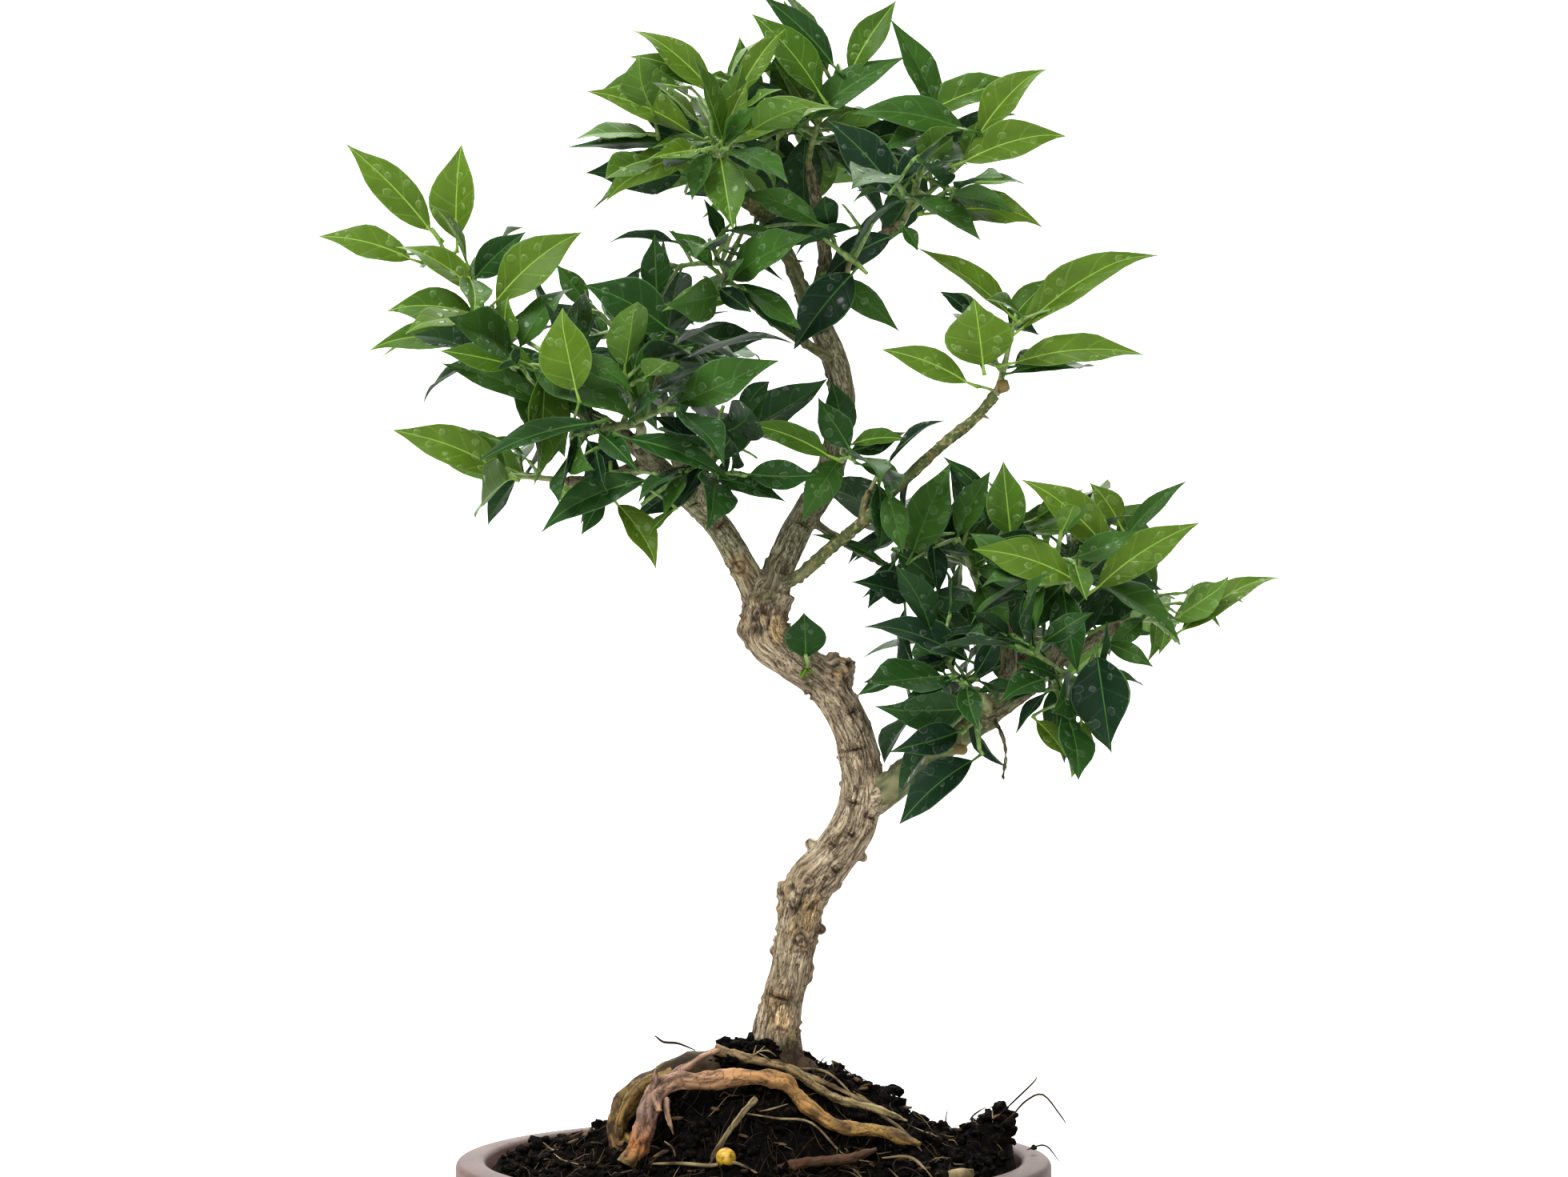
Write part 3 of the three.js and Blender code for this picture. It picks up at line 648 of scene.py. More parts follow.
def chance_marks(every, seed, length, bare_front=False):
    """Scars and warts that wind up a limb."""
    draw = draws_from(seed)
    scars, warts = [], []
    way, turn = every, draw(0, TURN)
    while way < length:
        if not (bare_front and math.sin(turn) > 0.2):
            scars.append((way, turn, SCAR["half_wide"] * draw(0.6, 1.1)))
        warts.append((way + draw(2, 5), turn + draw(2, 4), WART["high"] * draw(0.5, 1.1)))
        way += every * draw(0.7, 1.3)
        turn += math.radians(GOLDEN_TURN)
    return scars, warts


def front_marks(grain):
    """The front's scars: way along the trunk, angle round it and width."""
    spots = np.array([(x, FRONT_DEPTH, z) for x, z, _ in FRONT_SCARS], float)
    ways, turns, _ = grain.find(spots)
    return [(way, turn, wide) for way, turn, (_, _, wide) in zip(ways, turns, FRONT_SCARS)]


def add_marks(places, scars, warts):
    """How strongly each point is scarred, and the height that all marks add."""
    ways, angles, radii = places
    scar = np.zeros(len(ways))
    height = np.zeros(len(ways))
    for way, turn, wide in scars:
        groove = lens(angles, turn, radii, ways, way, wide, SCAR["half_long"])
        for side in (-1, 1):
            lip_way = way + side * SCAR["lip_at"]
            height += SCAR["lip"] * lens(angles, turn, radii, ways, lip_way, wide * 1.1, SCAR["half_long"])
        scar = np.maximum(scar, groove)
        height -= SCAR["deep"] * groove
    for way, turn, high in warts:
        height += high * lens(angles, turn, radii, ways, way, WART["half"], WART["half"])
    return scar, height


print("scars that show on the front:", len(FRONT_SCARS))

# %% [markdown]
# ## Cracks, burls and healed cuts
#
# Citrus bark is thin and hard, and opens in fine cracks along the grain. Where boughs were cut, the
# wood healed over in rings and burls. Cracks are the narrow bands where a noise drawn out along the
# grain crosses zero, and what has a place of its own is a rounded patch.
#
# %% Cracks, burls and healed cuts
CRACK = {"wide": 1.9, "long": 12, "edge": 0.17, "deep": 0.6}
FINE_CRACK = {"wide": 1.15, "long": 6, "edge": 0.2, "deep": 0.24}
STREAK = {"wide": 0.9, "long": 8}
RING = {"every": 1.9, "deep": 0.42, "reach": 12}

# Middle and half sizes of what marks the bark: healed cuts in rings, knobbly burls, bare wood,
# warm ochre bark and algae.
HEALED = [
    ((16.5, -8, 138), (4.2, 6, 4.4)), ((19, -9, 158.7), (2.8, 6, 2.8)), ((-5, -8, 268), (3.6, 5, 3.6)),
    ((12.5, -3, 275.5), (2.6, 5, 3)),
]
BURLS = [
    ((14, -2, 154), (11, 12, 8)), ((17, -4, 139), (7, 9, 6)), ((31, 0, 233), (7, 9, 7)),
    ((3, -2, 251), (9, 12, 9)), ((9, -4, 118), (7, 9, 3)),
]
BARE_WOOD = [
    ((10.1, -8, 111.5), (2.9, 5, 4)), ((8.1, -10, 246.4), (3.1, 5, 6.2)), ((20, -9, 146), (2, 4, 3.4)),
    ((27.5, -1, 297), (2.8, 5, 8)), ((32, -3, 236.6), (2.6, 4, 1.4)),
]
OCHRE = [
    ((14.9, -6, 104.7), (2.2, 5, 2.6)), ((19, -8, 147), (4, 6, 6)), ((12, -6, 248), (3, 6, 5)),
    ((-5, -6, 268), (6, 6, 5)), ((10, -8, 111), (5, 6, 6)),
]
ALGAE = [
    ((5, -8, 258), (4.6, 6, 1.9)), ((15.6, -9, 150), (1.7, 4, 4.4)), ((19, -6, 229), (3, 5, 3)),
    ((12, -8, 101), (4, 6, 3.5)),
]


def cracks(places, kind, shift):
    """1 in the middle of a crack and 0 on the plates between."""
    drawn = grain_noise(*places, kind["wide"], kind["long"], shift)
    gate = grain_noise(*places, kind["wide"] * 1.5, kind["long"] * 0.7, shift + 40)
    return (1 - soft_step(np.abs(drawn), 0, kind["edge"])) * (0.2 + 0.8 * soft_step(gate, -0.15, 0.15))


def patches(points, marks):
    """1 in the middle of rounded patches, fading to 0 outside."""
    total = np.zeros(len(points))
    for centre, halves in marks:
        total += np.exp(-((((points - np.array(centre)) / np.array(halves)) ** 2).sum(axis=1) ** 1.5))
    return np.clip(total, 0, 1)


def healed_rings(points):
    """The rings of healed cuts as waves, and how strongly each point is in them."""
    waves = np.zeros(len(points))
    wander = lump_noise(points, 3.5, 8.8)
    for centre, _ in HEALED:
        away = np.linalg.norm((points - np.array(centre)) * (1, 0.5, 1), axis=1)
        near = away < RING["reach"]
        waves[near] = np.sin(TURN * away[near] / RING["every"] + 3.5 * wander[near])
    return waves, patches(points, HEALED)


print("patches on the bark:", len(HEALED + BURLS + BARE_WOOD + OCHRE + ALGAE))

# %% [markdown]
# ## Bark relief
#
# Bark is a skin of many heights, and a bump in the material would not show on the outline. So the
# heights push the skin's points out, and what each point is, such as crack or bare wood, is kept on
# it as a number: the colour falls where the relief is.
#
# %% Bark relief
LUMPS = {"size": 8, "high": 0.6}
# Heights between which the painted shade on the trunk's foot fades, the lower trunk's painted shade
# and stronger streaks end, and the boughs' colour starts.
SHADED_FOOT = (99, 106)
SHADED_LOWER_TRUNK = (112, 170)
OLIVE_FROM = (252, 272)
# How far right and up the limbs are as olive as the boughs, and the radii of the youngest wood.
OLIVE_RIGHT_OF = (40, 52)
OLIVE_ABOVE = 180
YOUNG_RADII = (2.0, 4.4)


def lay_bark(made, grain, scars, warts):
    """Pushes bark relief out of a skin and keeps what each point is."""
    points, outward = points_of(made)
    ways, angles, radii = grain.find(points)
    wander = lump_noise(points, 9, 4.4)
    places = (ways + 2 * wander, angles + 0.12 * wander, radii)
    strength = np.clip(radii / 7.5, 0.3, 1)
    crack = cracks(places, CRACK, 3.1)
    fine = cracks(places, FINE_CRACK, 7.7)
    scar, marked = add_marks((ways, angles, radii), scars, warts)
    waves, healed = healed_rings(points)
    burl = patches(points, BURLS)
    knobs, pits = lump_noise(points, 3.6, 2.2), lump_noise(points, 1.9, 5.2)
    bare = soft_step(patches(points, BARE_WOOD) + 0.3 * lump_noise(points, 2.6, 1.1), 0.36, 0.56)
    smooth = (1 - 0.75 * bare) * (1 - 0.6 * healed)
    height = LUMPS["high"] * lump_noise(points, LUMPS["size"]) * strength
    height += burl * (2.6 * knobs + 1.5 * pits) * (1 - 0.8 * bare)
    height -= (CRACK["deep"] * crack + FINE_CRACK["deep"] * fine) * strength * smooth
    height += (marked * strength - RING["deep"] * waves * healed) * (1 - 0.8 * bare) - 0.25 * bare
    made.data.vertices.foreach_set("co", ((points + outward * height[:, None]) * MM).ravel())
    made.data.update()
    ring_gap = healed * np.clip(waves * 1.6 - 0.5, 0, 1)
    # Painted shade in the burls' hollows, where the relief sinks lowest.
    burl_hollow_shade = burl * (1 - bare) * np.clip(-2.8 * knobs - 1.8 * pits - 0.12, 0, 1)
    # Painted shade on the trunk's foot, just above the soil.
    painted_foot_shade = 0.95 * (1 - soft_step(points[:, 2] + 3 * pits, *SHADED_FOOT))
    dark = np.clip((crack + 0.5 * fine) * smooth + ring_gap + burl_hollow_shade, 0, 1) * 0.85
    algae = patches(points, ALGAE) * (0.8 + lump_noise(points, 1.6))
    # Ochre patches of the bark, and ochre as a painted highlight on the burls' knobs.
    ochre = patches(points, OCHRE) * 0.7 + burl * np.clip(0.2 + 1.3 * knobs, 0, 1)
    streak = grain_noise(*places, STREAK["wide"], STREAK["long"], 21)
    # Below these heights the trunk is painted darker, as shade, and its streaks are stronger.
    low = 1 - soft_step(points[:, 2], *SHADED_LOWER_TRUNK)
    streak = 0.5 - 0.2 * low + (0.6 + 0.25 * low) * streak + 0.3 * lump_noise(points, 7, 3.3)
    far_right = soft_step(points[:, 0], *OLIVE_RIGHT_OF) * (points[:, 2] > OLIVE_ABOVE)
    # The crack number holds the cracks, and painted shade in burl hollows and on the trunk's foot.
    set_values(
        made,
        crack=np.maximum(dark, painted_foot_shade),
        scar=scar * smooth,
        bare=bare,
        algae=np.clip(algae, 0, 1),
        ochre=np.clip(ochre * (0.8 + pits), 0, 0.85),
        streak=np.clip(streak, 0, 1),
        high=np.maximum(soft_step(points[:, 2], *OLIVE_FROM), far_right),
        youth=1 - soft_step(radii, *YOUNG_RADII),
    )
    ways, angles, radii = places
    drawn = np.stack([radii * np.cos(angles), radii * np.sin(angles), ways], axis=1)
    made.data.attributes.new("grain", "FLOAT_VECTOR", "POINT").data.foreach_set("vector", drawn.ravel())


trunk_scars, trunk_warts = chance_marks(7, 5, length_of(trunk_path), bare_front=True)
lay_bark(trunk_piece, trunk_grain, trunk_scars + front_marks(trunk_grain), trunk_warts)
lay_bark(bough_piece, grey_grain, *chance_marks(8, 11, 130))
print("bark laid, points on the trunk:", len(trunk_piece.data.vertices))

# %% [markdown]
# ## Flat cut at ground level
#
# The solid trunk ends in a flat cut at ground level, where the mound hides it. The grown skin is
# round at its foot, so a level plane cuts it off there.
#
# %% Flat cut at ground level
cut = bmesh.new()
cut.from_mesh(trunk_piece.data)
whole = cut.verts[:] + cut.edges[:] + cut.faces[:]
level = (0, 0, GROUND_CUT * MM)
bmesh.ops.bisect_plane(cut, geom=whole, plane_co=level, plane_no=(0, 0, 1), clear_inner=True)
rim = [edge for edge in cut.edges if edge.is_boundary]
bmesh.ops.holes_fill(cut, edges=rim)
cut.to_mesh(trunk_piece.data)
cut.free()
print("cut flat at", GROUND_CUT, "mm")

# %% [markdown]
# ## Bark finish
#
# Dry bark is a matt, porous skin: grey-brown streaks along the grain, dark cracks, rust-brown scars,
# pale bare wood, and algae where water runs. The crack colour also lays painted shade in burl
# hollows and on the trunk's foot, and ochre a painted highlight on burl knobs. The colours are laid
# over each other like coats of paint, each through its own mask, and bark has almost no shine, so
# roughness stays high.
#
# %% Bark finish
def even_stops(colours, low=0.25, high=0.75):
    """Evenly spaced stops for a ramp from the first colour to the last."""
    return list(zip(np.linspace(low, high, len(colours)).tolist(), colours))


def lay_colours(material, surface, colour, *coats):
    """Lays coats over a colour, each through its mask."""
    for mask, coat in coats:
        over = linear(coat) if isinstance(coat, str) else coat
        colour = add_node(material, "Mix", {0: mask, 6: colour, 7: over}, 2, data_type="RGBA")
    wire(colour, surface, "Base Color")


def kept_values(material, *names):
    """The numbers that the mesh's points keep."""
    return [add_node(material, "Attribute", out="Fac", attribute_name=name) for name in names]


def speckle(material, size, detail=4):
    """Noise of one size, from 0 to 1."""
    place = add_node(material, "TexCoord", out="Object")
    return add_node(material, "TexNoise", {"Vector": place, "Scale": repeats(size), "Detail": detail})


def roughen(material, surface, height, strength, distance):
    """Fine relief that only the light shows, this many millimetres deep."""
    sockets = {"Height": height, "Strength": strength, "Distance": distance * MM}
    wire(add_node(material, "Bump", sockets), surface, "Normal")


def drawn_noise(material, wide, long, shift):
    """Noise drawn out along the grain, of this width and length."""
    grain = add_node(material, "Attribute", out="Vector", attribute_name="grain")
    sockets = {"Vector": grain, "Location": (0, 0, shift), "Scale": (1 / wide, 1 / wide, 1 / long)}
    sockets = {"Vector": add_node(material, "Mapping", sockets), "Scale": 1.0, "Detail": 3, "Roughness": 0.6}
    return add_node(material, "TexNoise", sockets)


def from_half(material, output):
    """How far a value is from one half."""
    away = add_node(material, "Math", [output, 0.5], operation="SUBTRACT")
    return add_node(material, "Math", [away], operation="ABSOLUTE")


def fissures(material, wide, long):
    """Thin broken lines along the grain, 1 in their middle."""
    away = from_half(material, drawn_noise(material, wide, long, 0))
    line = add_node(material, "MapRange", [away, 0.0, 0.06, 1.0, 0.0])
    gate = add_node(material, "MapRange", [drawn_noise(material, wide * 2, long * 0.6, 7), 0.44, 0.54])
    return add_node(material, "Math", [line, gate], operation="MULTIPLY")


print("three even stops:", even_stops(("#000000", "#808080", "#FFFFFF")))

# %% [markdown]
# ## Furrowed bark
#
# One finish serves the trunk and its boughs, because their bark runs into each other. The boughs are
# more olive, and a number on the points says where the colour turns, so that no seam shows. The
# dark lines are finer than the relief and lie between its cracks.
#
# %% Furrowed bark
TRUNK_STREAKS = ("#7C6C54", "#9A8A70", "#B6A68A")
BOUGH_STREAKS = ("#54563A", "#767858", "#969574")
BARE_STREAKS = ("#8A7050", "#B89A70", "#CDB48A")
BARK = {
    "crack": "#35291E", "young": "#5E6140", "dry film": "#A59A86", "ochre": "#9C8058",
    "algae": "#454A2A", "scar": "#382A1B",
}

bark, surface = new_material("furrowed citrus bark", Roughness=0.88, Specular_IOR_Level=0.12)
# The ochre number holds ochre patches and a painted highlight on the burls' knobs.
streak, high, youth, ochre, algae, bare, scar, crack = kept_values(
    bark, "streak", "high", "youth", "ochre", "algae", "bare", "scar", "crack"
)
trunk_colour = add_node(bark, "ValToRGB", [streak], stops=even_stops(TRUNK_STREAKS))
bough_colour = add_node(bark, "ValToRGB", [streak], stops=even_stops(BOUGH_STREAKS))
film = add_node(bark, "MapRange", {0: drawn_noise(bark, 0.6, 3, 3), 1: 0.4, 2: 0.7, 4: 0.5})
wood = add_node(bark, "ValToRGB", [drawn_noise(bark, 0.7, 8, 5)], stops=even_stops(BARE_STREAKS, 0.36, 0.6))
line = add_node(bark, "Math", [fissures(bark, 1.1, 6), fissures(bark, 0.75, 3.5)], operation="MAXIMUM")
# The crack colour also lays painted shade in burl hollows and on the trunk's foot.
lay_colours(
    bark, surface, trunk_colour, (high, bough_colour), (youth, BARK["young"]), (film, BARK["dry film"]),
    (ochre, BARK["ochre"]), (algae, BARK["algae"]), (bare, wood), (line, BARK["crack"]),
    (scar, BARK["scar"]), (crack, BARK["crack"]),
)
height = add_node(bark, "Math", [line, -1.0, speckle(bark, 0.5)], operation="MULTIPLY_ADD")
roughen(bark, surface, height, 0.6, 0.3)
dress(trunk_piece, "trunk_bark", "trunk", material=bark)
dress(bough_piece, "trunk_bark", *GREY_BOUGHS, material=bark)

# %% [markdown]
# ## Green wood
#
# The youngest boughs haven't barked over: olive and smooth, ringed where leaves stood, with a few
# thorns. They are even tubes with a little relief, and near the trunk the skin turns into bark, so
# colour and cracks change there.
#
# %% Green wood
GREEN_SIDES = 28
GREEN_STEP = 0.55
NODE_EVERY = 9
BARKED_FOOT = {"bough_right": 42}
CUT_ENDS = [
    ((84, -27, 329.5), (87.5, -27.5, 330.5), 2.3), ((61, -12, 199), (63, -15.5, 198.5), 2.2),
    ((71, -14, 205), (73, -17, 205), 1.9),
]
THORNS = {
    "bough_green": (0.2, 0.34, 0.5, 0.63, 0.78, 0.9), "bough_right": (0.4, 0.62),
    "bough_top_left": (0.3, 0.5, 0.75),
}
THORN_LENGTH = 2.6


def green_bough(name, seed):
    """A young bough, and what each of its points is."""
    at = bough_paths[name]
    length = length_of(at)
    steps = round(length / GREEN_STEP)
    ways = np.linspace(0, length, steps + 1)
    radii = np.array([bough_radius(name)(share) for share in np.linspace(0, 1, steps + 1)])
    points, faces = tube(rings_along(at, steps), radii, GREEN_SIDES)
    way = ring_values(ways, [0, length], GREEN_SIDES)
    radius = ring_values(radii, [radii[0], radii[-1]], GREEN_SIDES)
    places = (way, angles_round(steps + 1, GREEN_SIDES), radius)
    scar, marked = add_marks(places, *chance_marks(NODE_EVERY * 0.6, seed, length))
    barked = 1.0 if name in FROM_TRUNK else 0.6
    age = np.exp(-((way / BARKED_FOOT.get(name, 20)) ** 2)) * barked
    crack = cracks(places, CRACK, seed) * (0.4 + 0.6 * age)
    streak = 0.5 + 0.8 * grain_noise(*places, STREAK["wide"], STREAK["long"], seed + 0.5)
    height = 0.7 * lump_noise(points, 6, seed) - 0.4 * crack
    height += 0.3 * np.exp(-(((way % NODE_EVERY) - NODE_EVERY / 2) ** 2) / 0.8)
    height = (height + marked * 0.6) * np.clip(radius / 4, 0.4, 1)
    skin = points + away_from(at, way / length, points) * height[:, None]
    return skin, faces, scar * 0.7, age, crack * 0.7, streak


def spur(start, end, radii, sides, scar):
    """A thorn or a cut end, and what its points are."""
    points, faces = tube(rings_along(smooth_path([start, end]), len(radii) - 1), radii, sides)
    zero = np.zeros(len(points))
    return points, faces, zero + scar, zero, zero, zero + 0.6


green_parts = [green_bough(name, 31 + i) for i, name in enumerate(GREEN_BOUGHS)]
for start, end, radius in CUT_ENDS:
    green_parts.append(spur(start, end, [radius, radius, radius, radius * 0.96, radius * 0.7], 16, 1))
for name, shares in THORNS.items():
    for i, share in enumerate(shares):
        foot = bough_paths[name](share)
        side = np.array([math.cos(2.4 * i), -0.5, math.sin(2.4 * i) * 0.9])
        tip = foot + unit(side) * (bough_radius(name)(share) + THORN_LENGTH)
        green_parts.append(spur(foot, tip, [1.1, 0.8, 0.5, 0.12], 8, 0.2))
green_piece = make_grown("green_bough_skin", green_parts, "scar", "age", "crack", "streak")
print("thorns:", sum(len(shares) for shares in THORNS.values()))

# %% [markdown]
# ## Olive green bark
#
# Living green bark is a thin skin over green tissue, smooth and slightly waxy. Wax lowers the
# roughness a little, cork specks are patches of one size, and towards the trunk it ages into
# streaky olive bark.
#
# %% Olive green bark
GREENS = ("#263219", "#3C4824", "#566034")
AGED_GREENS = ("#3C3E28", "#585A3C", "#767452")
CORK, GREEN_CRACK, GREEN_SCAR = "#857C50", "#35301F", "#6E5E36"

green_bark, surface = new_material("olive green bark", Roughness=0.66, Specular_IOR_Level=0.2)
streak, age, crack, scar = kept_values(green_bark, "streak", "age", "crack", "scar")
fresh = add_node(green_bark, "ValToRGB", [speckle(green_bark, 5)], stops=even_stops(GREENS))
aged = add_node(green_bark, "ValToRGB", [streak], stops=even_stops(AGED_GREENS))
corky = add_node(green_bark, "MapRange", [speckle(green_bark, 1.4, 3), 0.54, 0.66])
lay_colours(
    green_bark, surface, fresh, (corky, CORK), (age, aged), (crack, GREEN_CRACK), (scar, GREEN_SCAR)
)
roughen(green_bark, surface, speckle(green_bark, 0.8), 0.35, 0.25)
dress(green_piece, "young_bark", *GREEN_BOUGHS, material=green_bark)

# %% [markdown]
# ## Masses of leaves
#
# The crown is a number of sprays, each grown from its bough's tip. The heart of each and the tips
# of its shoots are the numbers of the solids, so that the crown keeps its outline and gaps. Its
# light, from 0 in the shade to 1 in the sun, deals out its greens.
#
# %% Masses of leaves
LEAF = {"length": 40, "half_width": 0.235, "droop": 0.16, "stalk": 0.12}


def mass(limb, seed, light, heart, *tips, leaf=LEAF["length"], start=None):
    """A mass of leaves on its limb."""
    start = start or BOUGHS[limb][-1]
    return dict(limb=limb, seed=seed, light=light, leaf=leaf, start=start, heart=heart, tips=tips)


MASSES = {
    "spray_upper_left": mass(
        "bough_left_outer", 181, 0.66, (-82, -16, 336), (-111, -18, 385), (-94, -28, 357), (-76, -36, 332),
        (-62, -42, 333), leaf=44,
    ),
    "leaves_left_back": mass(
        "bough_left_back", 176, 0.5, (-42, 44, 346), (-60, 40, 364), (-30, 24, 358), (-46, 66, 344),
        (-22, 54, 347), (-74, 34, 344),
    ),
    "leaves_left_middle": mass(
        "bough_left", 137, 0.42, (-40, -26, 317), (-62, -36, 312), (-44, -38, 334), (-26, -46, 321),
        (-28, -24, 338), (-48, -40, 300),
    ),
    "leaves_left_low": mass(
        "bough_left_inner", 44, 0.3, (-16, -26, 304), (-12, -38, 298), (-38, -34, 289), (-10, -32, 323),
        (-3, -10, 314),
    ),
    "spray_low_left": mass(
        "bough_left_low", 69, 0.66, (-73, -9, 299), (-92, -16, 300), (-84, 16, 302), leaf=42,
    ),
    "leaves_top_left": mass(
        "bough_top_left", 201, 0.68, (-12, -17, 404), (-15, -24, 425), (-35, -24, 413), (-5, -6, 431),
        (-8, -46, 409), (-24, 4, 400),
    ),
    "leaves_top_middle": mass(
        "bough_top_back", 1059, 0.64, (20, 21, 417), (30, 12, 446), (19, 40, 434), (40, 42, 424),
        (2, 32, 422), (10, 52, 410),
    ),
    "leaves_top_right": mass(
        "bough_top_right", 151, 0.58, (54, -2, 393), (64, -4, 425), (79, -10, 414), (47, -28, 402),
        (70, -20, 391), (62, 34, 413),
    ),
    "leaves_middle": mass(
        "bough_mid_left", 105, 0.42, (-9, -22, 368), (-15, -30, 380), (-11, -42, 359), (-3, -14, 386),
        (-28, -8, 372),
    ),
    "leaves_leader": mass(
        "bough_top_inner", 9, 0.3, (34, -15, 374), (39, -22, 369), (41, -26, 386), (24, -24, 381),
    ),
    "leaves_wound": mass("spur_wound", 150, 0.5, (31, -17, 307), (31, -22, 311), (34, -26, 305), leaf=29),
    "spray_right_upper": mass(
        "bough_green", 605, 0.76, (85, -27, 333), (90, -30, 355), (77, -36, 338), leaf=44,
    ),
    "leaves_green_side": mass("bough_green_side", 97, 0.22, (43, -25, 300), (46, -28, 303), leaf=28),
    "leaves_right_inner": mass(
        "bough_dark", 49, 0.2, (56, -3, 268), (60, -12, 280), (52, -4, 256), (56, 14, 285),
    ),
    "leaves_right_top": mass(
        "bough_right_up", 173, 0.56, (78, 6, 264), (71, -12, 278), (90, -10, 282), (80, 32, 276),
        (60, 30, 272),
    ),
    "leaves_right_middle": mass(
        "bough_right_outer", 104, 0.56, (109, -15, 261), (121, -22, 272), (101, -38, 272), (114, 8, 285),
        (96, -46, 262),
    ),
    "spray_right_outer": mass(
        "bough_right_far", 310, 0.78, (133, -15, 250), (147, -18, 249), (139, 8, 259), leaf=42,
    ),
    "leaves_right_low": mass(
        "bough_right_low", 78, 0.34, (103, -30, 232), (118, -38, 226), (106, -44, 219), (88, -50, 242),
        (108, -46, 246),
    ),
    "leaves_right_front": mass(
        "bough_right", 124, 0.28, (76, -26, 225), (77, -36, 206), (66, -44, 231), (61, -36, 246),
        (54, -20, 223),
    ),
    "leaves_right_back": mass(
        "bough_right_back", 89, 0.45, (101, 47, 241), (75, 46, 242), (105, 62, 259), (125, 56, 245),
        (118, 46, 227),
    ),
    "leaf_on_trunk": mass("trunk", 620, 0.34, (19, -14, 235), (18, -16, 238), leaf=16, start=(19, 0, 233)),
}
print("masses:", len(MASSES), "shoots:", sum(len(mass["tips"]) for mass in MASSES.values()))

# %% [markdown]
# ## How a shoot grows
#
# All sprays follow the solids' rule: a stem runs through the heart to its first tip, other shoots
# branch from it, and leaves stand round every shoot, each a golden turn on from the last and opening
# wider the older it is. The same seeds and draws give the solids' own shoots again.
#
# %% How a shoot grows
SHOOT = {
    "radii": (1.3, 0.8), "stem_share": 0.8, "bow": 0.16, "first_branch": 0.4, "last_branch": 0.8,
    "leaf_spacing": 8, "fewest": 2, "most": 6, "pitch": 5.4, "leafy_share": 0.92, "lowest_leaf": 0.05,
    "sunk": 1.8, "turn_spread": 14, "first_spread": 16, "last_spread": 78, "spread_power": 0.6,
    "spread_jitter": 9, "sizes": (0.84, 1.14), "lower_loss": 0.12, "lift": 0.1, "depth_share": 0.7,
    "twist": 25,
}


def new_shoot(at, span, radii, leaves, leader=False):
    return {"at": at, "span": span, "radii": radii, "leaves": leaves, "leader": leader}


def give_or_take(draw, most):
    return draw(-most, most)


def turned_about(vector, axis, angle):
    """A direction turned about an axis at right angles to it."""
    return vector * math.cos(angle) + np.cross(axis, vector) * math.sin(angle)


def leaves_round(at, foot, span, mean_length, draw, count=None):
    """The leaves round one shoot, from its tip down."""
    if count is None:
        count = min(SHOOT["most"], SHOOT["fewest"] + math.floor(span / SHOOT["leaf_spacing"] + 0.5))
    pitch = min(SHOOT["pitch"], span * SHOOT["leafy_share"] / count)
    leaves = []
    azimuth = draw(0, 360)
    for k in range(count):
        height = max(SHOOT["lowest_leaf"], 1 - (SHOOT["sunk"] + k * pitch) / span)
        share = mix(foot, 1, height)
        ahead = heading(at, share)
        azimuth += GOLDEN_TURN + give_or_take(draw, SHOOT["turn_spread"])
        lowness = k / max(count - 1, 1)
        opening = mix(SHOOT["first_spread"], SHOOT["last_spread"], lowness ** SHOOT["spread_power"])
        spread = math.radians(opening + give_or_take(draw, SHOOT["spread_jitter"]))
        size = draw(*SHOOT["sizes"]) * (1 - SHOOT["lower_loss"] * lowness)
        twist = math.radians(give_or_take(draw, SHOOT["twist"]))
        level = unit(np.cross(ahead, AWAY))
        round_it = math.radians(azimuth)
        side = level * math.cos(round_it) + np.cross(ahead, level) * math.sin(round_it)
        side = unit(side * (1, SHOOT["depth_share"], 1))
        along = unit(ahead * math.cos(spread) + side * math.sin(spread) + UP * SHOOT["lift"])
        face = ahead * 0.8 + UP * 0.6 - side * 0.2
        face = turned_about(unit(face - along * face.dot(along)), along, twist)
        leaf = {"base": at(share), "along": along, "face": face, "length": mean_length * size}
        leaves.append(leaf | {"lowness": lowness})
    return leaves


def shoots_of(mass):
    """A mass's shoots, the leader first."""
    draw = draws_from(mass["seed"])
    limb = BOUGHS.get(mass["limb"])
    stem_radius = limb[1] * SHOOT["stem_share"] if limb else SHOOT["radii"][0]
    leader = smooth_path([mass["start"], mass["heart"], mass["tips"][0]])
    shoots = []
    for i, tip in enumerate(mass["tips"]):
        end = np.array(tip, float)
        branching = mix(SHOOT["first_branch"], SHOOT["last_branch"], i / len(mass["tips"]))
        root = leader(branching) if i else np.array(mass["heart"], float)
        span = np.linalg.norm(end - root)
        bow = np.array([draw(-1, 1), draw(-1, 1), draw(-0.2, 1)])
        middle = (root + end) / 2 + bow * span * SHOOT["bow"]
        at = bowed_path(root, middle, end) if i else leader
        foot = 0 if i else 0.5
        radii = SHOOT["radii"] if i else (stem_radius, SHOOT["radii"][1])
        leaves = leaves_round(at, foot, span, mass["leaf"], draw)
        shoots.append(new_shoot(at, span, radii, leaves, i == 0))
    return shoots


print("shoots of the upper left spray:", len(shoots_of(MASSES["spray_upper_left"])))

# %% [markdown]
# ## Which leaves the solids kept
#
# Where a leaf would have touched a limb or another leaf, the solids left it out. A leaf is there if
# the solid has a corner at the leaf's tip, so the crown here can't drift from the frame.
#
# %% Which leaves the solids kept
TIP_NEARNESS = 0.35
SHOOT_NEARNESS = 1.6


